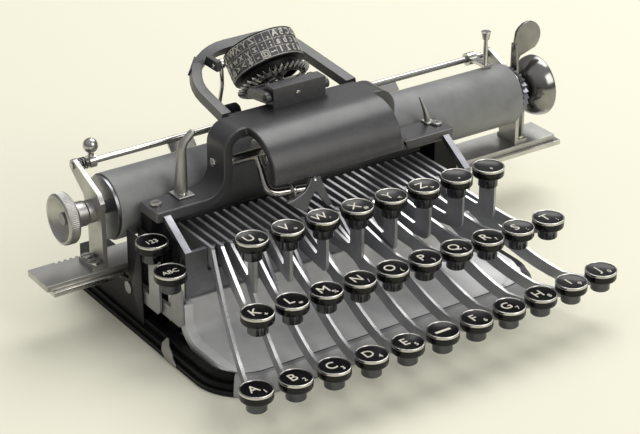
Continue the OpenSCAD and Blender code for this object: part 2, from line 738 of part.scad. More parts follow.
module wheel_arm() {
    cheek_in = block_hw + pass_gap;
    eye_r = arm_pin_d / 2 + 1.3;
    pin = [arm_pin_y, arm_pin_z];
    bar = [arm_bar[1], arm_bar[2]];
    v = unit(bar - pin);
    side = [-v[1], v[0]] * eye_r;
    color(STEEL) difference() {
        union() {
            for (s = [-1, 1]) translate([s * (cheek_in + cheek_t / 2), 0, 0]) {
                plate_yz(0, cheek_t, [pin + side, pin - side, bar - side, bar + side]);
                bar_x(-cheek_t / 2, cheek_t / 2, pin[0], pin[1], 2 * eye_r);
            }
            bar_x(-cheek_in - cheek_t, cheek_in + cheek_t, bar[0], bar[1], arm_bar_d);
            on_wheel_axis() translate([0, 0, arm_bar_axial - arm_bar_d * 0.55])
                cylinder(d = wheel_shaft_d + 4, h = arm_bar_d * 1.1);
        }
        bar_x(-cheek_in - cheek_t - 1, cheek_in + cheek_t + 1, pin[0], pin[1], arm_pin_d + 2 * running_fit);
        on_wheel_axis() translate([0, 0, arm_bar_axial - 6])
            cylinder(d = wheel_shaft_d + 2 * running_fit, h = 12);
    }
}

module type_wheel() {
    r = wheel_d / 2;
    half = wheel_h / 2;
    bore = wheel_shaft_d / 2 + seat_fit;
    band = wheel_h / type_rows;
    inside = r - wheel_wall;
    rows = [for (k = [0:type_rows - 1]) let (top = half - k * band, low = top - band, out = r + type_relief)
        each [[r, top - 0.6], [out, top - 0.9], [out, low + 0.9], [r, low + 0.6]]];
    color(JAPAN) on_wheel_axis() rotate_extrude() polygon(concat(
        [[bore, half - 2], [inside, half - 2], [inside, half], [r, half]], rows, [[r, -half], [inside, -half],
        [inside, half - 5], [bore + 3, half - 5], [bore + 3, -half + 1], [bore, -half + 1]]));
}

module wheel_gear() {
    root = gear_d / 2 - 2.3;
    step = 360 / gear_teeth;
    teeth = [for (k = [0:gear_teeth - 1]) each [
        root * [cos(k * step), sin(k * step)],
        gear_d / 2 * [cos((k + 0.22) * step), sin((k + 0.22) * step)],
        gear_d / 2 * [cos((k + 0.45) * step), sin((k + 0.45) * step)],
        root * [cos((k + 0.75) * step), sin((k + 0.75) * step)]]];
    foot = arm_bar_axial - 3.5;
    color(STEEL) on_wheel_axis() {
        translate([0, 0, gear_axial - gear_t / 2]) linear_extrude(gear_t) difference() {
            polygon(teeth);
            for (k = [0:3]) rotate(45 + 90 * k) translate([root * 0.58, 0]) circle(d = root * 0.5);
        }
        translate([0, 0, gear_axial - gear_t / 2])
            cylinder(d = wheel_shaft_d + 4, h = -wheel_h / 2 + 1 - gear_axial);
        translate([0, 0, foot]) cylinder(d = wheel_shaft_d, h = wheel_h / 2 - foot);
        translate([0, 0, wheel_h / 2 - 2 + seat_fit]) cylinder(d = wheel_shaft_d + 4, h = 2.4);
    }
}

module ink_arm() {
    eye = ink_wire_d + 2.4;
    wire = [ink_pin - [0, 0, ink_wire_d / 2 + 0.4], ink_pin - [0, 0.5, 11], ink_axis + [0, -1.5, 7],
        ink_axis - [0, 0, 0.8]];
    color(NICKEL) {
        swept_bar(round_route(wire, 3), ink_wire_d, 8, [1, 0, 0]);
        bar_x(ink_x - ink_wire_d / 2, ink_x + ink_wire_d / 2, ink_pin[1], ink_pin[2], eye);
        bar_x(ink_x - 5.5, ink_x, ink_pin[1], ink_pin[2], ink_wire_d - 2 * running_fit);
        bar_x(ink_x, ink_x + ink_wire_d / 2 + ink_roller_w + 1.2, ink_axis[1], ink_axis[2], ink_wire_d - 0.4);
    }
}

module ink_roller() {
    x = ink_x + ink_wire_d / 2 + pass_gap;
    color(FELT) difference() {
        bar_x(x, x + ink_roller_w, ink_axis[1], ink_axis[2], ink_roller_d);
        bar_x(x - 1, x + ink_roller_w + 1, ink_axis[1], ink_axis[2], ink_wire_d - 0.4 + 2 * running_fit);
    }
}

module carriage_plate() {
    color(NICKEL) difference() {
        block([plate_left, plate_y, strip_top], [plate_right, plate_back, plate_z]);
        for (k = [0:7]) translate([plate_left + 14 + 3 * k, plate_back - 1.2, strip_top - 1])
            cube([1.5, 3, plate_t + 2]);
    }
}

module carriage_strip() {
    x0 = plate_left + 2.5;
    x1 = plate_right + 2.5;
    runner_z = track_z + runner_gap;
    color(NICKEL) {
        block([x0, strip_y, strip_top - strip_t], [x1, plate_y + plate_d / 2, strip_top]);
        block([carriage_shift - 79, track_front + 1, runner_z],
            [carriage_shift + 79, plate_y + plate_d / 2, strip_top - 1]);
    }
}

// Outline of an end bracket that carries the axle and reaches back to the paper rod
function bracket_pts() =
    let (tip_r = rod_d / 2 + 1.6, y1 = bracket_y + bracket_w, top = platen_z + axle_r + 4)
    concat([[bracket_y, plate_z], [bracket_y, top]], [[bracket_y + 3, top + 4]],
        arc_pts([rod_y, rod_z], tip_r, 110, -60), [[y1 + 3, top - 1], [y1, platen_z - 5], [y1, plate_z]]);

// Foot, upright plate and bosses of an end bracket, its outer face at x
module end_bracket(x, foot_x) {
    difference() {
        union() {
            plate_yz(x + bracket_t / 2, bracket_t, bracket_pts());
            block([foot_x, bracket_y, plate_z], [foot_x + bracket_foot, bracket_y + bracket_w, plate_z + 2]);
            children();
        }
        bar_x(x - 20, x + 20, platen_y, platen_z, axle_d + 2 * running_fit);
        bar_x(x - 3, x + bracket_t + 3, rod_y, rod_z, rod_d + 2 * running_fit);
    }
}

module left_bracket() {
    color(NICKEL) end_bracket(left_plate_x, left_plate_x - bracket_foot + bracket_t)
        bar_x(left_plate_x - boss_w, left_plate_x + 0.5, platen_y, platen_z, axle_d + 5);
}

module right_bracket() {
    post_y = platen_y - 5;
    foot_end = bell_post_x + bell_post_t;
    color(NICKEL) {
        end_bracket(right_plate_x, right_plate_x);
        difference() {
            union() {
                block([right_plate_x, post_y, plate_z], [foot_end, post_y + 10, plate_z + 2]);
                block([bell_post_x, post_y, plate_z], [foot_end, post_y + 10, platen_z + 5]);
            }
            bar_x(bell_post_x - 1, foot_end + 1, platen_y, platen_z, 4);
        }
    }
}

module platen_core() {
    step = 360 / 24;
    teeth = [for (k = [0:23]) each [(ratchet_r - 1.8) * [cos(k * step), sin(k * step)],
        ratchet_r * [cos((k + 0.8) * step), sin((k + 0.8) * step)]]];
    color(STEEL) {
        bar_x(knob_left + 2, space_lever_x + space_lever_t, platen_y, platen_z, axle_d);
        bar_x(platen_left + 0.5, platen_right - 0.5, platen_y, platen_z, 2 * core_r);
        bar_x(platen_left - 1.5, platen_left - 0.1, platen_y, platen_z, platen_d - 1.5);
        bar_x(platen_left - 0.5, platen_left + 1, platen_y, platen_z, 2 * core_r);
        translate([ratchet_x, platen_y, platen_z]) rotate([90, 0, 90]) linear_extrude(ratchet_t)
            difference() {
                polygon(teeth);
                circle(r = axle_r + seat_fit);
            }
    }
}

module platen_rubber() {
    color(RUBBER) difference() {
        bar_x(platen_left, platen_right, platen_y, platen_z, platen_d);
        bar_x(platen_left - 1, platen_right + 1, platen_y, platen_z, 2 * core_r + 2 * seat_fit);
    }
}

module platen_knob() {
    r = knob_d / 2;
    dish_x = knob_left + knob_rim_w - 1;
    rim_back = knob_left + knob_rim_w;
    color(NICKEL) difference() {
        turned_x(platen_y, platen_z, [[0, dish_x], [4, dish_x], [r - 1.5, knob_left], [r, knob_left + 0.8],
            [r, rim_back - 0.8], [r - 0.8, rim_back], [7, rim_back + 1.5], [6, rim_back + 2.5], [6, knob_right],
            [0, knob_right]]);
        bar_x(knob_left, knob_right + 1, platen_y, platen_z, axle_d + 2 * seat_fit);
    }
}

module bell() {
    r = bell_d / 2;
    flat = 5;
    outer = [for (k = [0:ARC_STEPS]) let (a = 90 * k / ARC_STEPS)
        [flat + (r - flat) * sin(a), bell_x + bell_h * (1 - cos(a))]];
    inner = [for (k = [ARC_STEPS:-1:0]) let (a = 90 * k / ARC_STEPS)
        [flat + (r - bell_wall - flat) * sin(a), bell_x + bell_wall + (bell_h - bell_wall) * (1 - cos(a))]];
    color(NICKEL) {
        turned_x(platen_y, platen_z, concat([[0, bell_x]], outer, inner, [[0, bell_x + bell_wall]]));
        bar_x(bell_post_x - 0.2, bell_x + 4, platen_y, platen_z, 4 - 2 * seat_fit);
    }
}

module line_space_lever() {
    x = space_lever_x + space_lever_t / 2;
    neck_z = platen_z + space_lever_l;
    low = space_lever_l - blade_neck;
    blade = concat(arc_pts([blade_r - 0.5, space_lever_l + 2], blade_r, 150, -50), [[blade_r - 4.9, low + 5],
        [1.2, low], [-1.2, low], [-1.4, low + 7]]);
    color(NICKEL) {
        difference() {
            union() {
                bar_x(space_lever_x, space_lever_x + space_lever_t, platen_y, platen_z, axle_d + 6);
                plate_yz(x, space_lever_t, [[platen_y - 3, platen_z], [platen_y + 0.5, neck_z],
                    [platen_y + 4, neck_z], [platen_y + 4.5, platen_z]]);
            }
            bar_x(space_lever_x - 1, space_lever_x + space_lever_t + 1, platen_y, platen_z,
                axle_d + 2 * running_fit);
        }
        translate([x, platen_y + 3, platen_z]) rotate([90, 0, 0]) linear_extrude(1.6) polygon(blade);
    }
}

// A flat finger that points from the rod to the platen
module paper_finger(x) {
    lean = atan2(rod_z - platen_z, rod_y - platen_y);
    reach = norm([rod_y - platen_y, rod_z - platen_z]) - platen_d / 2 - 0.7;
    translate([x, rod_y, rod_z]) rotate([lean, 0, 0])
        block([-7, -reach, -0.6], [7, -rod_d / 2 - seat_fit, 0.6]);
}

module paper_rod() {
    ball_x = ball_hub_x + 1.7;
    color(NICKEL) {
        bar_x(left_plate_x - 0.8, right_plate_x + bracket_t + 0.8, rod_y, rod_z, rod_d);
        difference() {
            union() {
                bar_x(ball_hub_x, ball_hub_x + 3.4, rod_y, rod_z, rod_d + 3);
                translate([ball_x, rod_y, rod_z]) cylinder(d1 = 3.4, d2 = 2.4, h = ball_up);
                translate([ball_x, rod_y, rod_z + ball_up]) sphere(d = ball_d);
            }
            bar_x(ball_hub_x - 1, ball_hub_x + 5, rod_y, rod_z, rod_d + 2 * seat_fit);
        }
        for (x = [carriage_shift - 62, carriage_shift + 57]) paper_finger(x);
    }
}

// Coil drawn as one unbroken tube of six-sided rings, eight to a curl
module rod_spring() {
    rings = 8 * spring_turns;
    centres = [for (i = [0:rings]) let (a = 360 * i / 8)
        [spring_x + spring_pitch * i / 8, rod_y + spring_r * cos(a), rod_z + spring_r * sin(a)]];
    points = [for (i = [0:rings]) let (a = 360 * i / 8, out = [0, cos(a), sin(a)])
        for (k = [0:5]) centres[i] + spring_wire / 2 * (cos(60 * k) * out + sin(60 * k) * [1, 0, 0])];
    sides = [for (i = [0:rings - 1]) for (k = [0:5]) let (m = (k + 1) % 6)
        each [[6 * i + k, 6 * i + 6 + m, 6 * i + 6 + k], [6 * i + k, 6 * i + m, 6 * i + 6 + m]]];
    ends = [for (k = [1:4]) each [[0, k + 1, k], [6 * rings, 6 * rings + k, 6 * rings + k + 1]]];
    gap = min([for (i = [0:rings - 6]) for (j = [i + 6:rings]) norm(centres[i] - centres[j])]) - spring_wire;
    echo(rod_spring_least_gap = gap);
    color(STEEL) polyhedron(points, concat(sides, ends));
}

module release_lever() {
    arm_z = platen_z + platen_d / 2 + 0.6;
    stem = [release_x + release_w / 2, rod_y - release_reach + 2.5];
    color(NICKEL) {
        difference() {
            union() {
                bar_x(release_x, release_x + release_w, rod_y, rod_z, rod_d + 3.4);
                block([release_x, rod_y - release_reach, arm_z], [release_x + release_w, rod_y, arm_z + 1.6]);
            }
            bar_x(release_x - 1, release_x + release_w + 1, rod_y, rod_z, rod_d + 2 * running_fit);
        }
        translate([stem[0], stem[1], arm_z + 1]) cylinder(d1 = 2.8, d2 = 2, h = release_h - 4);
        translate([stem[0], stem[1], arm_z + release_h - 4]) cylinder(d1 = 3.6, d2 = 5, h = 4);
    }
}

module paper_guides() {
    y = bridge_back - 1.5;
    left = wing_x + wing_r + 6;
    right = bridge_w / 2 - 4;
    color(NICKEL) translate([0, y, foot_z]) rotate([90, 0, 0]) linear_extrude(1.6) {
        polygon([[-left - 4, 0], [-left + 4, 0], [-left + 2.5, guide_h - 8], [-left + 9, guide_h - 2],
            [-left + 7.5, guide_h], [-left - 1.5, guide_h - 6]]);
        polygon([[right - 2, 0], [right + 2, 0], [right - 5, guide_h / 2 - 2], [right - 7, guide_h / 2],
            [right - 7.6, guide_h / 2 - 1]]);
    }
}

// Slotted cheese head standing on a face
module screw_head(p) {
    translate(p) difference() {
        cylinder(d = screw_d, h = screw_h);
        translate([-screw_d, -screw_d / 14, screw_h / 2]) cube([2 * screw_d, screw_d / 7, screw_h]);
    }
}

module frame_screws() {
    color(NICKEL) for (s = [-1, 1]) screw_head([s * (bridge_w / 2 - 4.5), bridge_back / 2, foot_z]);
}

module carriage_screws() {
    left_x = left_plate_x - bracket_foot / 2 + bracket_t / 2 - 0.4;
    right_x = right_plate_x + bracket_foot / 2 + 1.2;
    color(NICKEL) for (y = [bracket_y + 3.2, bracket_y + bracket_w - 3.2]) {
        screw_head([left_x, y, plate_z + 2]);
        screw_head([right_x, y, plate_z + 2]);
    }
}

module hold_down_clips() {
    out = base_hw + 0.3;
    under = rail_h + 0.2;
    pts = [[out, 0.5], [out, rail_h * 0.28 + 0.2], [base_hw - 2.4, under], [base_hw - clip_lap, under],
        [base_hw - clip_lap, under + clip_t], [base_hw - 1.6, under + clip_t],
        [out + clip_t, rail_h * 0.28 + 0.6], [out + clip_t, 0.5]];
    color(NICKEL) translate([0, clip_w / 2 - clip_y, 0]) rotate([90, 0, 0]) linear_extrude(clip_w) {
        polygon(pts);
        mirror([1, 0]) polygon(pts);
    }
}

base_frame();
key_tray();
lever_comb();
pivot_shaft();
upper_frame();
rear_loop();
bearing_block();
hood_linkage();
wheel_arm();
type_wheel();
wheel_gear();
ink_arm();
ink_roller();
carriage_plate();
carriage_strip();
left_bracket();
right_bracket();
platen_core();
platen_rubber();
platen_knob();
bell();
line_space_lever();
paper_rod();
rod_spring();
release_lever();
paper_guides();
frame_screws();
carriage_screws();
hold_down_clips();
for (i = [0:FRONT_KEYS - 1]) key_front(i);
for (i = [0:MIDDLE_KEYS - 1]) key_middle(i);
for (i = [0:BACK_KEYS - 1]) key_back(i);
figures_key();
capitals_key();
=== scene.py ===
"""Dresses the portable type-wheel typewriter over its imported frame.

Every length in this file is in millimetres unless a name ends in _m, and is turned into metres
by MM where it reaches Blender. The frame's own pieces keep their shape and get finishes and
rounded edges; keys, knob, bell, gear, spring, wire work and type are modelled here in full.
"""

import logging
import math
from dataclasses import dataclass, field
from enum import Enum
from typing import Any, Iterable, Sequence

import bmesh
import bpy
from mathutils import Matrix, Vector


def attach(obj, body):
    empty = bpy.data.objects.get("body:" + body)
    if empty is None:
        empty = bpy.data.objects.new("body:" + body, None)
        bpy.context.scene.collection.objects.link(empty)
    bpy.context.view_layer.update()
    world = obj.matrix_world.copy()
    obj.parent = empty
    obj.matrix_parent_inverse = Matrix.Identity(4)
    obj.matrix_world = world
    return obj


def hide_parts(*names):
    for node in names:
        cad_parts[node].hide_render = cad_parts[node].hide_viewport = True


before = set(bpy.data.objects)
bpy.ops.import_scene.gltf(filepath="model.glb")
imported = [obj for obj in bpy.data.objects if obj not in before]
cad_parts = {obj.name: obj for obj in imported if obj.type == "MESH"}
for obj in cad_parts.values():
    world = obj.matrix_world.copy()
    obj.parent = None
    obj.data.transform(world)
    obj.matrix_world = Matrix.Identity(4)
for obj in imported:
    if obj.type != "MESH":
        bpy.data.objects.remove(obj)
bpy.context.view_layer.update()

MM = 0.001
WELD_M = 1e-6
SHARP_DEG = 32
CAPITAL_SHARE = 0.7
ORIGIN = (0.0, 0.0, 0.0)
LOG = logging.getLogger("typewriter")

Point = tuple[float, float, float]
Pair = tuple[float, float]
Face = bmesh.types.BMFace
Vert = bmesh.types.BMVert
Shape = bmesh.types.BMesh
Mesh = bpy.types.Mesh
Tree = bpy.types.NodeTree
Socket = bpy.types.NodeSocket


class Row(Enum):
    """The three rows of keys, from the typist to the wheel."""

    FRONT = "front"
    MIDDLE = "middle"
    BACK = "back"


class Axis(Enum):
    """The direction a turned piece is turned about."""

    LEFT = (-1.0, 0.0, 0.0)
    X = (1.0, 0.0, 0.0)
    FRONT = (0.0, -1.0, 0.0)
    Z = (0.0, 0.0, 1.0)


def linear(hex_code: str) -> tuple[float, float, float, float]:
    """Turns an sRGB hex colour into linear values.

    Args:
        hex_code: Six hex digits after a hash sign.

    Returns:
        Red, green, blue and alpha in linear light.
    """
    parts = [int(hex_code[i:i + 2], 16) / 255 for i in (1, 3, 5)]
    red, green, blue = [c / 12.92 if c <= 0.04045 else ((c + 0.055) / 1.055) ** 2.4 for c in parts]
    return red, green, blue, 1.0


def at(x: float, y: float, z: float) -> Matrix:
    """Gives the matrix that moves the origin to a point in millimetres."""
    return Matrix.Translation(Vector((x, y, z)) * MM)


def in_scene(name: str, data: bpy.types.ID) -> bpy.types.Object:
    """Makes an object and puts it in the scene.

    Args:
        name: The object's name.
        data: Its mesh, curve, lamp or camera.

    Returns:
        The object.
    """
    made = bpy.data.objects.new(name, data)
    bpy.context.scene.collection.objects.link(made)
    return made


def add_node(tree: Tree, kind: str, inputs: dict[Any, Any], **settings: Any) -> bpy.types.Node:
    """Adds one node with its settings, values and links.

    Args:
        tree: The node tree that gets the node.
        kind: Blender's name for the node type.
        inputs: Socket name or number to a value, or to the output socket linked to it.
        **settings: Attributes of the node itself.

    Returns:
        The new node.
    """
    node = tree.nodes.new(kind)
    for name, value in settings.items():
        setattr(node, name, value)
    for name, value in inputs.items():
        if isinstance(value, Socket):
            tree.links.new(value, node.inputs[name])
        else:
            node.inputs[name].default_value = value
    return node


@dataclass(frozen=True)
class Finish:
    """One surface finish, named for what the real surface is.

    The pattern is noise on Object coordinates. grain_mm is its size along X, Y and Z, so that a
    brushed or ground surface has one long direction, and cloud_mm is the size of soft patches.
    """

    name: str
    slot: str
    colour: str
    patch_colour: str
    metallic: float
    roughness: float
    roughness_spread: float
    grain_mm: Point
    bump_mm: float
    cloud_mm: float = 14.0
    coat: float = 0.0
    specular: float = 0.5
    wear_colour: str = ""
    wear: float = 0.0

    def material(self) -> bpy.types.Material:
        """Builds the material once and returns it afterwards.

        Returns:
            The finished material.
        """
        known = bpy.data.materials.get(self.name)
        if known:
            return known
        made = bpy.data.materials.new(self.name)
        made.use_nodes = True
        tree = made.node_tree
        shader = tree.nodes["Principled BSDF"]
        place = add_node(tree, "ShaderNodeTexCoord", {}).outputs["Object"]
        grain = self._grain(tree, place)
        cloud = add_node(tree, "ShaderNodeTexNoise", {"Vector": place, "Scale": 1 / (self.cloud_mm * MM),
                                                     "Detail": 4.0, "Roughness": 0.55}).outputs["Fac"]
        blend = add_node(tree, "ShaderNodeMapRange", {"Value": cloud, "From Min": 0.35, "From Max": 0.7})
        colour = add_node(tree, "ShaderNodeMix", {"Factor": blend.outputs["Result"], "A": linear(self.colour),
                                                 "B": linear(self.patch_colour)}, data_type="RGBA")
        colour_out = self._worn(tree, colour.outputs[2], grain)
        tree.links.new(colour_out, shader.inputs["Base Color"])
        rough = add_node(tree, "ShaderNodeMapRange", {
            "Value": add_node(tree, "ShaderNodeMath", {0: grain, 1: cloud}, operation="ADD").outputs[0],
            "From Min": 0.6, "From Max": 1.4, "To Min": self.roughness - self.roughness_spread,
            "To Max": self.roughness + self.roughness_spread})
        tree.links.new(rough.outputs["Result"], shader.inputs["Roughness"])
        bump = add_node(tree, "ShaderNodeBump", {"Strength": 1.0, "Distance": self.bump_mm * MM,
                                                "Height": grain})
        tree.links.new(bump.outputs["Normal"], shader.inputs["Normal"])
        shader.inputs["Metallic"].default_value = self.metallic
        shader.inputs["Specular IOR Level"].default_value = self.specular
        shader.inputs["Coat Weight"].default_value = self.coat
        shader.inputs["Coat Roughness"].default_value = 0.08
        return made

    def _grain(self, tree: Tree, place: Socket) -> Socket:
        """Adds the fine grain.

        Args:
            tree: The material's node tree.
            place: The Object coordinates.

        Returns:
            The socket with the grain's height.
        """
        scales = tuple(1 / (size * MM) for size in self.grain_mm)
        stretched = add_node(tree, "ShaderNodeMapping", {"Vector": place, "Scale": scales})
        return add_node(tree, "ShaderNodeTexNoise", {"Vector": stretched.outputs["Vector"], "Scale": 1.0,
                                                    "Detail": 3.0, "Roughness": 0.6}).outputs["Fac"]

    def _worn(self, tree: Tree, colour: Socket, grain: Socket) -> Socket:
        """Lightens raised edges where the finish has rubbed through.

        Args:
            tree: The material's node tree.
            colour: The colour before wear.
            grain: A noise that breaks the wear up.

        Returns:
            The colour with wear, or the same colour where the finish doesn't wear.
        """
        if not self.wear:
            return colour
        edge = add_node(tree, "ShaderNodeNewGeometry", {}).outputs["Pointiness"]
        rubbed = add_node(tree, "ShaderNodeMapRange", {"Value": edge, "From Min": 0.53, "From Max": 0.62,
                                                      "To Max": self.wear})
        broken = add_node(tree, "ShaderNodeMath", {0: rubbed.outputs["Result"], 1: grain},
                          operation="MULTIPLY")
        mixed = add_node(tree, "ShaderNodeMix", {"Factor": broken.outputs[0], "A": colour,
                                                "B": linear(self.wear_colour)}, data_type="RGBA")
        return mixed.outputs[2]


# Baked black japan: satin, a little wavy, rubbed grey along its edges
JAPAN = Finish("black_japan_enamel", "japan", "#303034", "#242428", 0.0, 0.36, 0.06,
               (2.2, 2.2, 2.2), 0.012,
               specular=0.8, wear_colour="#8f8e91", wear=0.9)
# The same japan on the base casting, made blacker and flatter: painted shade on the base's walls, the wheel's
# drum and the rear sheet
SHADE_DARKENED_JAPAN = Finish("black_japan_darkened_for_shade", "japan", "#141416", "#0e0e10", 0.0, 0.42, 0.06,
                    (1.4, 1.4, 1.4), 0.02,
                    specular=0.14, wear_colour="#77767a", wear=0.8)
# Polished nickel plate: bright and slightly warm, clouded by handling
NICKEL = Finish("polished_nickel_plate", "nickel", "#cfcdc8", "#b4b2ae", 1.0, 0.2, 0.07,
                (0.9, 0.9, 0.9), 0.004)
# Satin nickel plate of bent sheet and wire work: unpolished, so that it shades softly round a bend
SATIN_NICKEL = Finish("satin_nickel_plate", "nickel", "#bdbcb9", "#a6a5a2", 1.0, 0.42, 0.07,
                      (0.7, 0.7, 0.7), 0.006)
# Polished plate of bell and line-space lever, darker than the nickel: painted dark reflection and shade on
# them, with soft clouds
REFLECTION_DARKENED_NICKEL = Finish("nickel_plate_darkened_for_reflection", "nickel", "#979694", "#7c7b7a", 1.0, 0.19, 0.07,
                     (0.9, 0.9, 0.9), 0.004)
# Polished nickel of the key collars, darkened: the dark colour paints the dark reflections on them; smooth,
# with bright glints down its sides
REFLECTION_DARKENED_COLLAR = Finish("collar_nickel_darkened_for_reflection", "key_lever", "#5a5b60", "#47484d", 1.0, 0.2, 0.06,
                     (0.6, 0.6, 0.6), 0.004)
# Drawn sheet of the levers: duller, with grain from key to pivot, 0.5 mm across so that it shows
LEVER_STEEL = Finish("drawn_lever_steel", "key_lever", "#b2b3b7", "#999a9e", 0.6, 0.38, 0.08,
                     (0.5, 9.0, 0.5), 0.006)
# Upward faces of the levers: a brighter copy of the lever steel, painted highlight where the light falls on
# their tops, with the same long grain
LEVER_TOP_HIGHLIGHT = Finish("lever_top_painted_highlight", "key_lever", "#e8e8ea", "#d6d6d9", 0.8, 0.3, 0.06,
                    (0.5, 9.0, 0.5), 0.004)
# Machined steel of shafts, comb and fork: grey, with cutting marks
STEEL = Finish("machined_steel", "steel", "#94959a", "#7b7c82", 1.0, 0.32, 0.08, (0.6, 0.6, 0.6), 0.006)
# Brushed sheet of the tray: pale, with its grain across the machine; drawn 0.6 mm wide so that it shows
TRAY = Finish("brushed_tray_sheet", "tray", "#ececed", "#dadbdd", 0.15, 0.42, 0.08,
              (14.0, 0.6, 0.6), 0.006)
# The front lip's sheet: the tray's metal, darker than the tray
LIP_SHEET = Finish("darker_lip_sheet", "tray", "#a9aaad", "#97989b", 0.15, 0.48, 0.08,
                   (14.0, 0.6, 0.6), 0.006)
# Black celluloid of the key tops: smooth, hard gloss with faint handling marks
CELLULOID = Finish("black_celluloid", "key_cap", "#0b0b0d", "#121215", 0.0, 0.2, 0.06,
                   (0.8, 0.8, 0.8), 0.004,
                   specular=0.22, coat=0.1)
# Filled-in legend paint: ivory, a little uneven
LEGEND = Finish("ivory_legend_fill", "key_cap", "#f2eee2", "#d9d4c5", 0.0, 0.5, 0.08,
                (0.3, 0.3, 0.3), 0.004)
# Ground platen rubber: grey, with grinding rings round it every 0.5 mm
PLATEN_RUBBER = Finish("ground_platen_rubber", "platen_rubber", "#8b8c8d", "#7a7b7c", 0.0, 0.5, 0.08,
                       (0.5, 40.0, 40.0), 0.02)
# Felt of the ink roller: matt, soaked nearly black
INK_FELT = Finish("inked_felt", "ink_felt", "#2c2839", "#1c1926", 0.0, 0.92, 0.05,
                  (0.35, 0.35, 0.35), 0.12)
# Cast type faces, and the wheel's band: bare metal, lighter than the wheel; where the band shows between the
# dark blocks it paints highlight lines
TYPE_METAL = Finish("bare_type_metal", "steel", "#dedcd6", "#c4c2bc", 0.6, 0.45, 0.08,
                    (0.3, 0.3, 0.3), 0.004)


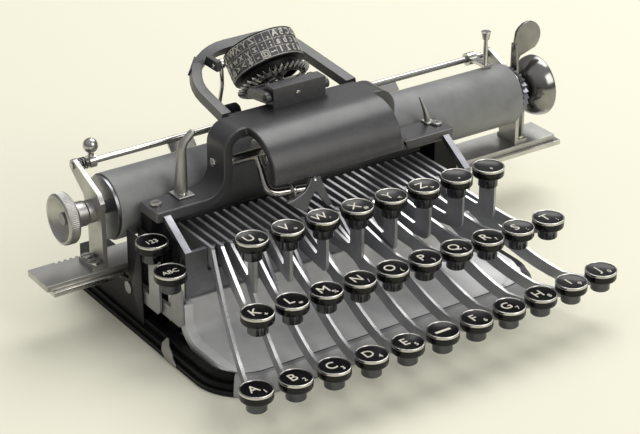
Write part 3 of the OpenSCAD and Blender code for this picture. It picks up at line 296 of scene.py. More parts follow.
class Piece:
    """A new piece of the model: a mesh at the origin that rides on a body."""

    def __init__(self, name: str, body: str, finishes: Sequence[Finish]) -> None:
        """Starts an empty piece.

        Args:
            name: The object's name.
            body: The body it moves with.
            finishes: Its finishes, in the order of the mesh's material numbers.
        """
        self.name = name
        self.body = body
        self.finishes = list(finishes)
        self.bm = bmesh.new()

    def add_turned(self, profile: Iterable[Pair], axis: Axis, centre: Point, steps: int = 48,
                   finish: int = 0) -> list[Face]:
        """Turns a profile about an axis.

        Args:
            profile: Pairs of radius and place along the axis.
            axis: The axis that it is turned about.
            centre: The point where that axis starts.
            steps: Number of facets round the turn.
            finish: The number of the finish on the new faces.

        Returns:
            The new faces.
        """
        origin = Vector(centre) * MM
        along = Vector(axis.value)
        out = Vector((0, 1, 0)) if along.x else Vector((1, 0, 0))
        old = set(self.bm.faces)
        verts = [self.bm.verts.new(origin + (along * z + out * r) * MM) for r, z in profile]
        edges = [self.bm.edges.new(pair) for pair in zip(verts, verts[1:])]
        bmesh.ops.spin(self.bm, geom=verts + edges, cent=origin, axis=along, angle=math.tau, steps=steps,
                       use_merge=True)
        bmesh.ops.remove_doubles(self.bm, verts=self.bm.verts, dist=WELD_M)
        faces = [f for f in self.bm.faces if f not in old]
        bmesh.ops.recalc_face_normals(self.bm, faces=faces)
        for face in faces:
            face.material_index = finish
        return faces

    def add_screw(self, centre: Point, axis: Axis, diameter: float, height: float, turn: float) -> None:
        """Adds a domed screw head with a slot.

        Args:
            centre: The point on the face that it stands on.
            axis: The direction it stands out in.
            diameter: The head's diameter.
            height: The head's height.
            turn: The slot's turn in degrees.
        """
        r = diameter / 2
        old = set(self.bm.faces)
        self.add_turned([(r, -0.1), (r, height * 0.5), (r * 0.9, height * 0.75), (r * 0.6, height * 0.95),
                         (0.0, height)], axis, centre, 28)
        origin = Vector(centre) * MM
        along = Vector(axis.value)
        first = Vector((0, 1, 0)) if along.x else Vector((1, 0, 0))
        side = Matrix.Rotation(math.radians(turn), 3, along) @ first
        half = diameter * 0.08 * MM
        for place in (-half, half):
            faces = [f for f in self.bm.faces if f not in old]
            parts = {p for f in faces for p in (*f.verts, *f.edges)}
            bmesh.ops.bisect_plane(self.bm, geom=list(parts) + faces, plane_co=origin + side * place,
                                   plane_no=side)
        groove = [f for f in self.bm.faces if f not in old and f.normal.dot(along) > 0.3
                  and abs((f.calc_center_median() - origin).dot(side)) < half]
        sunk = bmesh.ops.extrude_face_region(self.bm, geom=groove)
        verts = [v for v in sunk["geom"] if isinstance(v, Vert)]
        bmesh.ops.translate(self.bm, verts=verts, vec=along * (-height * 0.5 * MM))

    def thicken(self, faces: Sequence[Face], step: Point) -> list[Face]:
        """Pulls faces out into a solid and keeps the old ones as its other side.

        Args:
            faces: The faces of one side.
            step: How far and which way they are pulled.

        Returns:
            The faces of the new side.
        """
        grown = bmesh.ops.extrude_face_region(self.bm, geom=faces, use_keep_orig=True)["geom"]
        verts = [v for v in grown if isinstance(v, Vert)]
        bmesh.ops.translate(self.bm, verts=verts, vec=[s * MM for s in step])
        return [f for f in grown if isinstance(f, Face)]

    def add_block(self, size: Point, place: Matrix) -> list[Vert]:
        """Adds a plain block.

        Args:
            size: Its lengths along X, Y and Z.
            place: Where its middle goes, and its turn.

        Returns:
            The block's vertices.
        """
        verts = bmesh.ops.create_cube(self.bm, size=MM)["verts"]
        bmesh.ops.scale(self.bm, vec=size, verts=verts)
        bmesh.ops.transform(self.bm, matrix=place, verts=verts)
        return verts

    def add_wire(self, corners: Sequence[Point], reach: float, diameter: float, tip: float = 1.0,
                 steps: int = 8) -> None:
        """Adds a round wire along a route with rounded corners.

        Args:
            corners: The route's corners.
            reach: How far before and after a corner its curve starts.
            diameter: The wire's diameter where it starts.
            tip: Its diameter at the end, as a share of that.
            steps: Number of points on a curve, less one.
        """
        self.add_mesh(wire_mesh(rounded_route(corners, reach, steps), diameter, tip), Matrix.Identity(4))

    def face_out(self) -> None:
        """Turns every face outwards."""
        bmesh.ops.recalc_face_normals(self.bm, faces=self.bm.faces)

    def mirror(self) -> None:
        """Adds the mirror image across the machine's middle."""
        everything = [*self.bm.verts, *self.bm.edges, *self.bm.faces]
        bmesh.ops.mirror(self.bm, geom=everything, axis="X", merge_dist=0.0)
        self.face_out()

    def add_bar(self, section: Sequence[Pair], x0: float, x1: float) -> list[Face]:
        """Adds a bar along X with one section.

        Args:
            section: Pairs of Y and Z round the section.
            x0: Where the bar starts.
            x1: Where it ends.

        Returns:
            The faces along the bar's sides.
        """
        verts = [self.bm.verts.new(Vector((x0, y, z)) * MM) for y, z in section]
        end = self.bm.faces.new(verts)
        far_end = self.thicken([end], (x1 - x0, 0.0, 0.0))
        sides = [f for f in {f for v in verts for f in v.link_faces} if f is not end]
        bmesh.ops.recalc_face_normals(self.bm, faces=[end, *sides, *far_end])
        return sides

    def add_mesh(self, mesh: Mesh, place: Matrix, finish: int = 0) -> None:
        """Adds a ready mesh and throws the mesh away.

        Args:
            mesh: The mesh to add.
            place: Where it goes.
            finish: The number of the finish on its faces.
        """
        mesh.transform(place)
        old = set(self.bm.faces)
        self.bm.from_mesh(mesh)
        for face in self.bm.faces:
            if face not in old:
                face.material_index = finish
        bpy.data.meshes.remove(mesh)

    def finish_piece(self, replaced: Sequence[str] = (), bevel: float = 0.0) -> None:
        """Makes the object, dresses it and lets it ride on its body.

        Args:
            replaced: Nodes that this piece stands for.
            bevel: Width of rounded edges, or 0 for none.
        """
        mesh = bpy.data.meshes.new(self.name)
        self.bm.to_mesh(mesh)
        self.bm.free()
        for finish in self.finishes:
            mesh.materials.append(finish.material())
        mesh.shade_smooth()
        made = in_scene(self.name, mesh)
        round_edges(made, bevel, welded=True)
        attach(made, self.body)
        if replaced:
            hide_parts(*replaced)
        LOG.info("piece %s on %s, %d faces", self.name, self.body, len(mesh.polygons))


def round_edges(obj: bpy.types.Object, width: float, welded: bool = False) -> None:
    """Rounds an object's sharp edges and evens its shading with modifiers.

    Args:
        obj: The object.
        width: Width of the rounding, or 0 for none.
        welded: True if its vertices are already joined.
    """
    if not welded:
        weld = obj.modifiers.new("weld", "WELD")
        weld.merge_threshold = WELD_M
    if width:
        bevel = obj.modifiers.new("round_edges", "BEVEL")
        bevel.width = width * MM
        bevel.segments = 2
        bevel.profile = 0.5
        bevel.limit_method = "ANGLE"
        bevel.angle_limit = math.radians(SHARP_DEG)
        bevel.miter_outer = "MITER_ARC"
    even = obj.modifiers.new("even_shading", "WEIGHTED_NORMAL")
    even.keep_sharp = True


def dress(node: str, finish: Finish, bevel: float) -> None:
    """Gives a frame node its finish, smooth shading and rounded edges.

    Args:
        node: The node's name.
        finish: Its finish.
        bevel: Width of its rounded edges, or 0 for none.
    """
    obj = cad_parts[node]
    obj.data.materials.clear()
    obj.data.materials.append(finish.material())
    obj.data.shade_smooth()
    for face in obj.data.polygons:
        face.material_index = 0
    round_edges(obj, bevel)
    LOG.info("dressed %s with %s", node, finish.name)


def rounded_route(points: Sequence[Point], reach: float, steps: int = 8) -> list[Vector]:
    """Rounds each inner corner of a route.

    Args:
        points: The route's corners.
        reach: How far before and after a corner its curve starts.
        steps: Number of points on a curve, less one.

    Returns:
        The points of the rounded route.
    """
    corners = [Vector(p) for p in points]
    route = [corners[0]]
    for before, corner, after in zip(corners, corners[1:], corners[2:]):
        start = corner + (before - corner).normalized() * reach
        end = corner + (after - corner).normalized() * reach
        for k in range(steps + 1):
            t = k / steps
            route.append((1 - t) ** 2 * start + 2 * t * (1 - t) * corner + t * t * end)
    return route + [corners[-1]]


def wire_mesh(route: Sequence[Vector], diameter: float, tip: float = 1.0) -> Mesh:
    """Makes a round wire along a route.

    Args:
        route: Points in millimetres.
        diameter: The wire's diameter where it starts.
        tip: Its diameter at the end, as a share of that; where it is under 1, the end is round.

    Returns:
        A mesh with closed ends.
    """
    places = list(route)
    run = [0.0]
    for here, there in zip(places, places[1:]):
        run.append(run[-1] + (there - here).length)
    share = [1.0 + (tip - 1.0) * passed / run[-1] for passed in run]
    if tip < 1.0:
        ahead = (places[-1] - places[-2]).normalized() * diameter / 2 * tip
        for angle in (math.radians(a) for a in (25, 50, 70, 84)):
            places.append(route[-1] + ahead * math.sin(angle))
            share.append(tip * math.cos(angle))
    curve = bpy.data.curves.new("wire", "CURVE")
    curve.dimensions = "3D"
    curve.bevel_depth = diameter / 2 * MM
    curve.bevel_resolution = 4
    curve.use_fill_caps = True
    spline = curve.splines.new("POLY")
    spline.points.add(len(places) - 1)
    for point, place, size in zip(spline.points, places, share):
        point.co = (*(place * MM), 1.0)
        point.radius = size
    return mesh_of(curve)


def mesh_of(curve: bpy.types.Curve) -> Mesh:
    """Turns a curve or text into a mesh and removes the curve.

    Args:
        curve: The curve or text data.

    Returns:
        The mesh.
    """
    holder = in_scene("holder", curve)
    bpy.context.view_layer.update()
    mesh = bpy.data.meshes.new_from_object(holder.evaluated_get(bpy.context.evaluated_depsgraph_get()))
    bpy.data.objects.remove(holder)
    bpy.data.curves.remove(curve)
    return mesh


def glyph_mesh(sign: str, height: float, depth: float, swell: float = 0.0) -> Mesh:
    """Makes one sign as a thin flat mesh in the XY plane, centred on the origin.

    Args:
        sign: The letter or figure.
        height: Height of a capital.
        depth: Half of its thickness.
        swell: How far its strokes are thickened to each side.

    Returns:
        The mesh.
    """
    text = bpy.data.curves.new("sign", "FONT")
    text.body = sign
    text.size = height / CAPITAL_SHARE * MM
    text.align_x = "CENTER"
    text.align_y = "CENTER"
    text.extrude = depth * MM
    text.offset = swell * MM
    text.resolution_u = 3
    return mesh_of(text)


@dataclass
class Keyboard:
    """The keys: sheet levers, celluloid tops in nickel rings, and their legends."""

    cap_d: float = 15.25
    cap_h: float = 4.8
    collar_d: float = 9.3
    collar_h: float = 4.5
    collar_skirt: float = 0.9
    arm_lift: float = 3.4
    lift_reach: float = 22.0
    tip_share: float = 0.3
    word_h: float = 3.0
    lone_h: float = 5.4
    letter_h: float = 5.2
    figure_h: float = 2.6
    legend_half_t: float = 0.12
    legend_sink: float = 0.72
    letter_shift: Pair = (-0.9, 1.1)
    figure_shift: Pair = (2.6, -3.0)
    bar_size: Point = (8.0, 1.3, 0.3)
    legends: dict[Row, str] = field(default_factory=lambda: {
        Row.FRONT: "ABCDE-FGHIJ", Row.MIDDLE: "KLMNOPQRST", Row.BACK: "UVWXYZ.,"})
    figures: dict[Row, str] = field(default_factory=lambda: {
        Row.FRONT: "12345 67890", Row.MIDDLE: "+=%/()!?:;", Row.BACK: "&*'#<>  "})

    def build(self) -> None:
        """Builds every key."""
        for row in Row:
            for number, sign in enumerate(self.legends[row]):
                name = f"key_{row.value}_{number + 1}"
                self._build_key(name, sign, self.figures[row][number])
        self._build_key("figures_key", "123", " ")
        self._build_key("capitals_key", "ABC", " ")

    def _build_key(self, name: str, sign: str, figure: str) -> None:
        """Builds one key's lever, top and legend.

        Args:
            name: The key's node and body.
            sign: The main legend.
            figure: The small legend beside it, or a space.
        """
        centre = self._build_lever(name)
        self._build_top(name, centre)
        self._build_legend(name, centre, sign, figure)

    def _build_lever(self, name: str) -> Vector:
        """Builds the lever from the frame's own solid, without its top.

        Args:
            name: The key's node and body.

        Returns:
            The centre of the key's top, in millimetres.
        """
        lever = Piece(f"{name}_lever", name, [LEVER_STEEL, LEVER_TOP_HIGHLIGHT])
        lever.bm.from_mesh(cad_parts[name].data)
        bmesh.ops.remove_doubles(lever.bm, verts=lever.bm.verts, dist=WELD_M)
        top = min(self._islands(lever.bm), key=self._length)
        xs, ys, zs = zip(*((v.co / MM) for v in top))
        centre = Vector(((min(xs) + max(xs)) / 2, (min(ys) + max(ys)) / 2, max(zs)))
        bmesh.ops.delete(lever.bm, geom=list(top), context="VERTS")
        bmesh.ops.dissolve_limit(lever.bm, angle_limit=math.radians(0.5), verts=lever.bm.verts,
                                 edges=lever.bm.edges)
        if name.startswith(("key_front", "key_middle")):
            self._seat_arm(lever.bm, centre)
        for face in lever.bm.faces:
            # faces turned upward take the brighter copy: painted highlight on the lever tops
            face.material_index = 1 if face.normal.z > 0.35 else 0
        lever.finish_piece([name], bevel=0.22)
        return centre

    def _seat_arm(self, bm: Shape, centre: Vector) -> None:
        """Lifts the end of a swept arm so that it runs into its collar from behind.

        Args:
            bm: The lever's mesh.
            centre: The centre of the key's top.
        """
        rim = self.collar_d / 2
        low = centre.z - self.cap_h - self.collar_h - self.collar_skirt + 0.3
        for vert in bm.verts:
            away = Vector((vert.co.x / MM - centre.x, vert.co.y / MM - centre.y))
            near = min(max((self.lift_reach - away.length) / (self.lift_reach - rim), 0.0), 1.0)
            vert.co.z += self.arm_lift * near * near * (3.0 - 2.0 * near) * MM
            if away.length < rim + 0.1:
                vert.co.z = max(vert.co.z, low * MM)
                if away.y < -0.5:
                    vert.co.x = (centre.x + away.x * self.tip_share) * MM
                    vert.co.y = (centre.y + away.y * self.tip_share) * MM
        bm.normal_update()

    @staticmethod
    def _islands(bm: Shape) -> list[set[Vert]]:
        """Splits a mesh into its connected parts.

        Args:
            bm: The mesh.

        Returns:
            The vertices of each part.
        """
        left = set(bm.verts)
        parts = []
        while left:
            part = set()
            front = {left.pop()}
            while front:
                part |= front
                front = {e.other_vert(v) for v in front for e in v.link_edges} - part
            left -= part
            parts.append(part)
        return parts

    @staticmethod
    def _length(part: set[Vert]) -> float:
        """Gives a part's length from front to back."""
        ys = [v.co.y for v in part]
        return max(ys) - min(ys)

    def _build_top(self, name: str, centre: Vector) -> None:
        """Turns one key top: darkened collar that paints dark reflection, celluloid body and nickel ring.

        Args:
            name: The key's body.
            centre: The centre of its top.
        """
        r = self.cap_d / 2
        low = -self.cap_h - self.collar_h - self.collar_skirt
        c = self.collar_d / 2
        collar = [(0.9, low + 0.5), (c - 1.3, low + 0.4), (c - 1.0, low), (c - 0.4, low), (c, low + 0.4),
                  (c, -self.cap_h - 0.3), (c - 0.1, -self.cap_h + 0.2)]
        body = [(c - 0.3, -self.cap_h + 0.1), (r - 0.9, -self.cap_h), (r - 0.35, -self.cap_h + 0.25),
                (r - 0.1, -self.cap_h + 0.8), (r - 0.1, -1.2), (r - 0.4, -1.0)]
        ring = [(r - 0.4, -1.3), (r - 0.06, -1.25), (r, -1.05), (r, -0.35), (r - 0.12, -0.1), (r - 0.4, 0.0),
                (r - 0.68, -0.1), (r - 0.8, -0.35), (r - 0.8, -0.8)]
        dish = [(r - 0.75, -0.42), (r - 1.3, -0.5), (r * 0.6, -0.72), (r * 0.3, -0.83), (0.0, -0.86)]
        top = Piece(f"{name}_top", name, [CELLULOID, NICKEL, REFLECTION_DARKENED_COLLAR])
        place = tuple(centre)
        for profile, steps, finish in ((collar, 32, 2), (body, 48, 0), (ring, 48, 1), (dish, 48, 0)):
            top.add_turned(profile, Axis.Z, place, steps, finish)
        top.finish_piece()

    def _build_legend(self, name: str, centre: Vector, sign: str, figure: str) -> None:
        """Lays the legend in the dished top.

        Args:
            name: The key's body.
            centre: The centre of the key's top.
            sign: The main legend; a dash stands for the plain bar of the spacing key.
            figure: The small legend, or a space.
        """
        legend = Piece(f"{name}_legend", name, [LEGEND])
        floor = centre.z - self.legend_sink
        if len(sign) > 1:
            height, across, up = self.word_h, 0.0, 0.0
        elif figure == " ":
            height, across, up = self.lone_h, 0.0, 0.0
        else:
            height, (across, up) = self.letter_h, self.letter_shift
        if sign == "-":
            legend.add_block(self.bar_size, at(centre.x, centre.y, floor))
        else:
            place = at(centre.x + across, centre.y + up, floor)
            legend.add_mesh(glyph_mesh(sign, height, self.legend_half_t), place)
        if figure != " ":
            across, up = self.figure_shift
            place = at(centre.x + across, centre.y + up, floor + 0.08)
            legend.add_mesh(glyph_mesh(figure, self.figure_h, self.legend_half_t), place)
        legend.finish_piece()


@dataclass
class TypeWheel:
    """The type wheel with its rows of raised signs, its toothed wheel and arm."""

    centre: Point = (0.0, 38.3, 104.6)
    lean: float = 46.0
    radius: float = 17.5
    height: float = 18.0
    type_band: float = 14.6
    gear_axial: float = -11.6
    gear_t: float = 1.2
    gear_root: float = 15.6
    gear_tip: float = 18.5
    gear_rise: float = 1.5
    gear_teeth: int = 36
    gear_rim: float = 2.6
    spoke_w: float = 3.4
    sign_h: float = 3.2
    block_w: float = 3.5
    block_t: float = 0.7
    rows: Sequence[str] = ("ABCDEFGHIJKLMNOPQRSTUVWXYZ.,", "abcdefghijklmnopqrstuvwxyz:;",
                           "1234567890+=%/()!?&*'#<>$-@~")

    def build(self) -> None:
        """Dresses the wheel's nodes and adds its type."""
        dress("wheel_arm", JAPAN, 0.25)
        self._build_body()
        self._build_type()
        self._build_gear()

    @property
    def axis(self) -> Matrix:
        """Gives the place and lean of the wheel."""
        return at(*self.centre) @ Matrix.Rotation(math.radians(-self.lean), 4, "X")

    def _build_body(self) -> None:
        """Turns the wheel's body: a pale band that shows between the dark type blocks as painted highlight
        lines, over a narrower drum in the darkened japan, painted shade under the type.
        """
        r = self.radius
        half = self.height / 2
        low = half - self.type_band
        inside = r - 2.5
        drum = r - 3.4
        body = Piece("type_wheel_body", "type_wheel", [SHADE_DARKENED_JAPAN, TYPE_METAL])
        # pale band: between the dark blocks it shows as painted highlight lines
        body.add_turned([(r + 0.1, half - 0.7), (r + 0.1, low + 0.7)], Axis.Z, ORIGIN, 84, finish=1)
        body.add_turned([(r + 0.1, low + 0.7), (r + 0.3, low + 0.5), (r + 0.3, low + 0.2), (r, low),
                         (drum + 0.8, low), (drum, low - 0.8), (drum, 0.3 - half), (drum - 0.3, -half),
                         (drum - 1.2, -half), (drum - 1.5, 0.3 - half), (drum - 1.5, half - 5),
                         (6.1, half - 5), (6.1, 1.3 - half), (5.8, 1 - half), (3.05, 1 - half),
                         (3.05, half - 2), (inside - 0.3, half - 2), (inside, half - 1.7),
                         (inside, half - 0.2), (inside + 0.2, half), (r, half), (r + 0.3, half - 0.2),
                         (r + 0.3, half - 0.5), (r + 0.1, half - 0.7)], Axis.Z, ORIGIN, 84)
        body.face_out()
        bmesh.ops.transform(body.bm, matrix=self.axis, verts=body.bm.verts)
        body.finish_piece(["type_wheel"])

    def _build_type(self) -> None:
        """Sets the type blocks and their raised signs round the wheel, mirrored as type is; the blocks are
        dark so that the pale band between them paints highlight lines.
        """
        signs = Piece("wheel_type", "type_wheel", [TYPE_METAL])
        blocks = Piece("wheel_type_blocks", "type_wheel", [JAPAN])
        band = (self.type_band - 1.8) / len(self.rows)
        middle = (self.height - self.type_band) / 2
        flat = Matrix.Rotation(math.pi / 2, 4, "X")
        mirrored = Matrix.Diagonal((-1.0, 1.0, 1.0, 1.0))
        for row, letters in enumerate(self.rows):
            up = middle + (len(self.rows) / 2 - row - 0.5) * band
            for number, sign in enumerate(letters):
                turn = self.axis @ Matrix.Rotation(math.tau * number / len(letters), 4, "Z")
                face = turn @ at(0.0, -self.radius - 0.45, up)
                signs.add_mesh(glyph_mesh(sign, self.sign_h, 0.2, 0.12), face @ flat @ mirrored)
                seat = turn @ at(0.0, -self.radius - 0.05, up)
                blocks.add_block((self.block_w, self.block_t, band - 0.4), seat)
        signs.face_out()
        signs.finish_piece()
        blocks.finish_piece(bevel=0.12)

    def _build_gear(self) -> None:
        """Cuts the toothed wheel with its spokes, and turns its hub, shaft and nut."""
        gear = Piece("wheel_gear_cut", "type_wheel", [NICKEL])
        inner = self.gear_root - self.gear_rim
        level = Matrix.Translation((0.0, 0.0, (self.gear_axial - self.gear_t / 2) * MM))
        count = 2 * self.gear_teeth
        outer_ring = bmesh.ops.create_circle(gear.bm, radius=self.gear_root * MM, segments=count)["verts"]
        for tooth in outer_ring[::2]:
            tooth.co *= self.gear_tip / self.gear_root
            tooth.co.z += self.gear_rise * MM
        inner_ring = bmesh.ops.create_circle(gear.bm, radius=inner * MM, segments=count)["verts"]
        loops = {e for v in outer_ring + inner_ring for e in v.link_edges}
        ring = bmesh.ops.bridge_loops(gear.bm, edges=list(loops))["faces"]
        gear.thicken(ring, (0.0, 0.0, self.gear_t))
        bmesh.ops.transform(gear.bm, matrix=level, verts=gear.bm.verts)
        for quarter in range(4):
            spoke = gear.add_block((inner - 3.5, self.spoke_w, self.gear_t - 0.2),
                                   at(inner / 2 + 2.0, 0.0, self.gear_axial))
            turn = Matrix.Rotation(math.pi / 2 * quarter, 3, "Z")
            bmesh.ops.rotate(gear.bm, cent=ORIGIN, matrix=turn, verts=spoke)
        top = self.height / 2
        gear.add_turned([(0.0, -18.5), (2.6, -18.5), (3.0, -18.1), (3.0, -12.0), (4.6, -12.0), (5.0, -11.6),
                         (5.0, -8.2), (3.0, -8.2), (3.0, top - 1.95), (5.0, top - 1.95), (5.0, top - 0.1),
                         (4.5, top + 0.4), (0.0, top + 0.4)], Axis.Z, ORIGIN, 48)
        gear.face_out()
        bmesh.ops.transform(gear.bm, matrix=self.axis, verts=gear.bm.verts)
        gear.finish_piece(["wheel_gear"], bevel=0.08)


@dataclass
class InkWork:
    """The ink arm's wire and its felt roller."""

    pin: Point = (-21.5, 43.0, 106.5)
    roller: Point = (-21.5, 47.0, 78.5)
    wire_d: float = 2.4
    roller_d: float = 8.0
    roller_w: float = 10.0

    def build(self) -> None:
        """Builds the arm and the roller."""
        arm = Piece("ink_arm_wire", "ink_arm", [NICKEL])
        x, y, z = self.pin
        rx, ry, rz = self.roller
        route = [(x, y, z - 1.6), (x, y - 0.5, z - 11), (x, ry - 1.5, rz + 7), (x, ry, rz),
                 (rx + 12.4, ry, rz)]
        arm.add_wire(route, 2.2, self.wire_d - 0.4)
        eye = self.wire_d / 2 + 1.2
        half = self.wire_d / 2
        arm.add_turned([(0.0, -half), (eye - 0.4, -half), (eye, -half + 0.4), (eye, half - 0.4),
                        (eye - 0.4, half), (0.0, half)], Axis.X, self.pin, 32)
        arm.add_turned([(half - 0.05, 0.0), (half - 0.05, -4.4), (half - 0.4, -4.8), (0.0, -4.8)], Axis.X,
                       self.pin, 24)
        arm.finish_piece(["ink_arm"])
        r = self.roller_d / 2
        x0 = self.wire_d / 2 + 0.4
        x1 = x0 + self.roller_w
        felt = Piece("ink_roller_felt", "ink_roller", [INK_FELT, NICKEL])
        felt.add_turned([(1.4, x0 + 0.5), (r - 0.7, x0 + 0.4), (r - 0.1, x0 + 1.0), (r, x0 + 2.0),
                         (r, x1 - 2.0), (r - 0.1, x1 - 1.0), (r - 0.7, x1 - 0.4), (1.4, x1 - 0.5)], Axis.X,
                        self.roller, 40)
        for end in (x0, x1 - 0.5):
            felt.add_turned([(1.05, end), (2.2, end), (2.2, end + 0.5), (1.05, end + 0.5), (1.05, end)],
                            Axis.X, self.roller, 32, finish=1)
        felt.finish_piece(["ink_roller"])


@dataclass
class HoodLinkage:
    """The cross shaft under the hood with its disc, crank and fork."""

    shaft: Pair = (2.0, 77.5)
    span: float = 42.8
    disc_x: float = -27.5
    fork_front: float = -19.5
    fork_foot: float = 52.2
    fork_lean: float = 0.3
    fork_t: float = 2.2

    def build(self) -> None:
        """Builds the linkage in place of its faceted node."""
        y, z = self.shaft
        work = Piece("hood_linkage_work", "base", [NICKEL])
        centre = (0.0, y, z)
        work.add_turned([(0.0, -self.span), (2.1, -self.span), (2.5, -self.span + 0.4),
                         (2.5, self.span - 0.4), (2.1, self.span), (0.0, self.span)], Axis.X, centre, 32)
        d = self.disc_x
        work.add_turned([(2.4, d), (6.5, d), (7.0, d + 0.4), (7.0, d + 1.6), (6.5, d + 2.0), (2.4, d + 2.0)],
                        Axis.X, centre, 48)
        crank = [(d - 1, y, z), (d - 2.6, -10.4, 62.2), (d + 18, -14.2, 61.3)]
        work.add_wire(crank, 5.5, 4.0, steps=12)
        work.add_turned([(0.0, -0.9), (3.6, -0.9), (4.1, -0.5), (4.1, 0.5), (3.6, 0.9), (0.0, 0.9)],
                        Axis.X, (d + 8.8, -12.5, 61.7), 36)
        stem = [(-7, y, z), (-7, -8, 73), (-7.2, -14.2, 64)]
        work.add_wire(stem, 3.0, 4.4)
        work.finish_piece(["hood_linkage"])
        self._build_fork()

    def _build_fork(self) -> None:
        """Cuts the fork from plate: a broad fan at its left and a narrow limb at its right."""
        fork = Piece("hood_fork", "base", [STEEL])
        outline = [(-9.6, 14.5), (-4.4, 14.5), (-2.9, 8.5), (-0.3, 0.0), (-3.3, 0.0), (-7.6, 7.6),
                   (-8.3, 8.0), (-10.2, 6.4), (-12.2, 4.0), (-13.6, 1.6), (-14.4, 0.0), (-19.6, 3.2),
                   (-24.6, 6.6), (-18.6, 7.6), (-14.2, 9.2), (-11.2, 11.6)]
        places = [(x, self.fork_front + self.fork_lean * h, self.fork_foot + h) for x, h in outline]
        plate = fork.bm.faces.new([fork.bm.verts.new(Vector(place) * MM) for place in places])
        fork.thicken([plate], (0.0, self.fork_t, 0.0))
        fork.face_out()
        fork.finish_piece(bevel=0.35)


@dataclass
class Frame:
    """The japanned base and bridge with their fittings."""

    wall_in_x: float = 76.5
    wing_x: float = 48.0
    foot_z: float = 63.3
    front_y: float = 72.5
    rail_h: float = 9.0
    corner_r: float = 25.0
    rim_x: float = 84.7
    rim_w: float = 5.0
    rim_radii: Pair = (10.0, 14.4)
    rim_sweep: float = 84.0
    rim_drop: float = 3.4
    bend_yz: Pair = (-35.0, 21.0)
    lip_sweep: float = 42.0
    guide_y: float = 11.6
    corner: Pair = (68.0, 49.2)
    clip_y: float = 23.0
    clip_w: float = 10.0
    clip_t: float = 1.0
    clip_lean: float = 7.0

    def build(self) -> None:
        """Dresses the frame's nodes."""
        # blacker japan on the base: painted shade on its walls
        dress("base_frame", SHADE_DARKENED_JAPAN, 0.7)
        dress("upper_frame", JAPAN, 0.8)
        dress("rear_loop", JAPAN, 0.9)
        dress("bearing_block", JAPAN, 0.6)
        dress("key_tray", TRAY, 0.3)
        dress("lever_comb", STEEL, 0.2)
        dress("pivot_shaft", STEEL, 0.4)
        dress("frame_screws", NICKEL, 0.12)
        self._build_guides()
        self._build_clips()
        self._build_screws()
        self._build_shade_sheet()
        self._build_tray_rims()
        self._build_front_lip()
        HoodLinkage().build()

    def _build_shade_sheet(self) -> None:
        """Adds a black sheet across the back of the lever well, between the side walls: painted shade that
        hides the lit plate and floor seen between the levers.
        """
        shade_sheet = Piece("rear_shade_sheet", "base", [SHADE_DARKENED_JAPAN])
        side = [(15.7, 27.0), (16.7, 27.0), (16.7, 46.2), (15.7, 47.0)]
        shade_sheet.add_bar(side, -self.wall_in_x, self.wall_in_x)
        shade_sheet.finish_piece(bevel=0.2)

    def _build_front_lip(self) -> None:
        """Bends the pale sheet that covers the front rail, from the tray's edge down to the table."""
        lip = Piece("tray_front_lip", "base", [LIP_SHEET])
        y, top = -self.front_y, self.rail_h
        side = [(y + 5.4, top + 0.05), (y + 3.35, top + 0.05), (y + 1.1, 5.65), (y - 0.05, 2.55),
                (y - 0.05, 0.4), (y - 0.4, 0.4), (y - 0.4, 2.6), (y + 0.75, 5.85), (y + 2.3, 8.4),
                (y + 3.1, top + 0.3), (y + 5.4, top + 0.35)]
        lip.add_bar(side, -self.corner[0], self.corner[0])
        ends = [f for f in lip.bm.faces if abs(f.normal.x) > 0.9]
        for end in ends:
            hand = 1 if end.calc_center_median().x > 0 else -1
            centre = Vector((hand * self.corner[0], self.corner_r - self.front_y, 0.0)) * MM
            parts = [end, *end.edges, *end.verts]
            bmesh.ops.spin(lip.bm, geom=parts, cent=centre, axis=(0, 0, hand),
                           angle=math.radians(self.lip_sweep), steps=7)
        lip.face_out()
        lip.finish_piece(bevel=0.12)

    def _build_tray_rims(self) -> None:
        """Adds the broad rims that sweep from the tray's back down its sides and round its front corners."""
        rims = Piece("tray_side_rims", "base", [TRAY])
        x, y = self.corner
        turns = [math.radians(a) for a in (0, -15, -30, -45, -60, -75, -90)]
        by, bz = self.bend_yz
        near, far = self.rim_radii
        side = [(-20.2, 26.8), (-25.0, 26.8)]
        side += [(by + near * math.cos(a), bz + near * math.sin(a)) for a in turns]
        side += [(-y, 11.0), (-y, 6.6)]
        side += [(by + far * math.cos(a), bz + far * math.sin(a)) for a in reversed(turns)]
        ends = rims.add_bar(side, -self.rim_x, -self.rim_x + self.rim_w)
        front = min(ends, key=lambda f: f.calc_center_median().y)
        centre = Vector((-x, -y, 0.0)) * MM
        swing = math.radians(self.rim_sweep)
        parts = [front, *front.edges, *front.verts]
        bmesh.ops.spin(rims.bm, geom=parts, cent=centre, axis=(0, 0, 1), angle=swing, steps=12)
        for vert in rims.bm.verts:
            out = vert.co - centre
            if out.y < -1e-5 and vert.co.z > 8.0 * MM:
                vert.co.z -= self.rim_drop * MM * math.atan2(-out.y, -out.x) / swing
        rims.mirror()
        rims.finish_piece(bevel=0.4)

    def _build_guides(self) -> None:
        """Forms the paper guides: a bent finger on the left foot and a thin horn on the right."""
        guides = Piece("paper_guides_formed", "base", [SATIN_NICKEL])
        y, z = self.guide_y, self.foot_z
        guides.add_wire([(-63.6, y, z), (-62.4, y, z + 24.0), (-57.0, y, z + 28.4)], 3.0, 6.6, 0.52)
        guides.add_wire([(77.4, y, z), (75.4, y, z + 7.5), (72.2, y, z + 14.6)], 3.0, 3.2, 0.3)
        for middle, across in ((-64.4, 8.6), (77.4, 5.0)):
            deep = across + 0.8
            guides.add_block((across, deep, 1.0), at(middle, 14.0 - deep / 2, z + 0.5))
        guides.finish_piece(["paper_guides"], bevel=0.3)

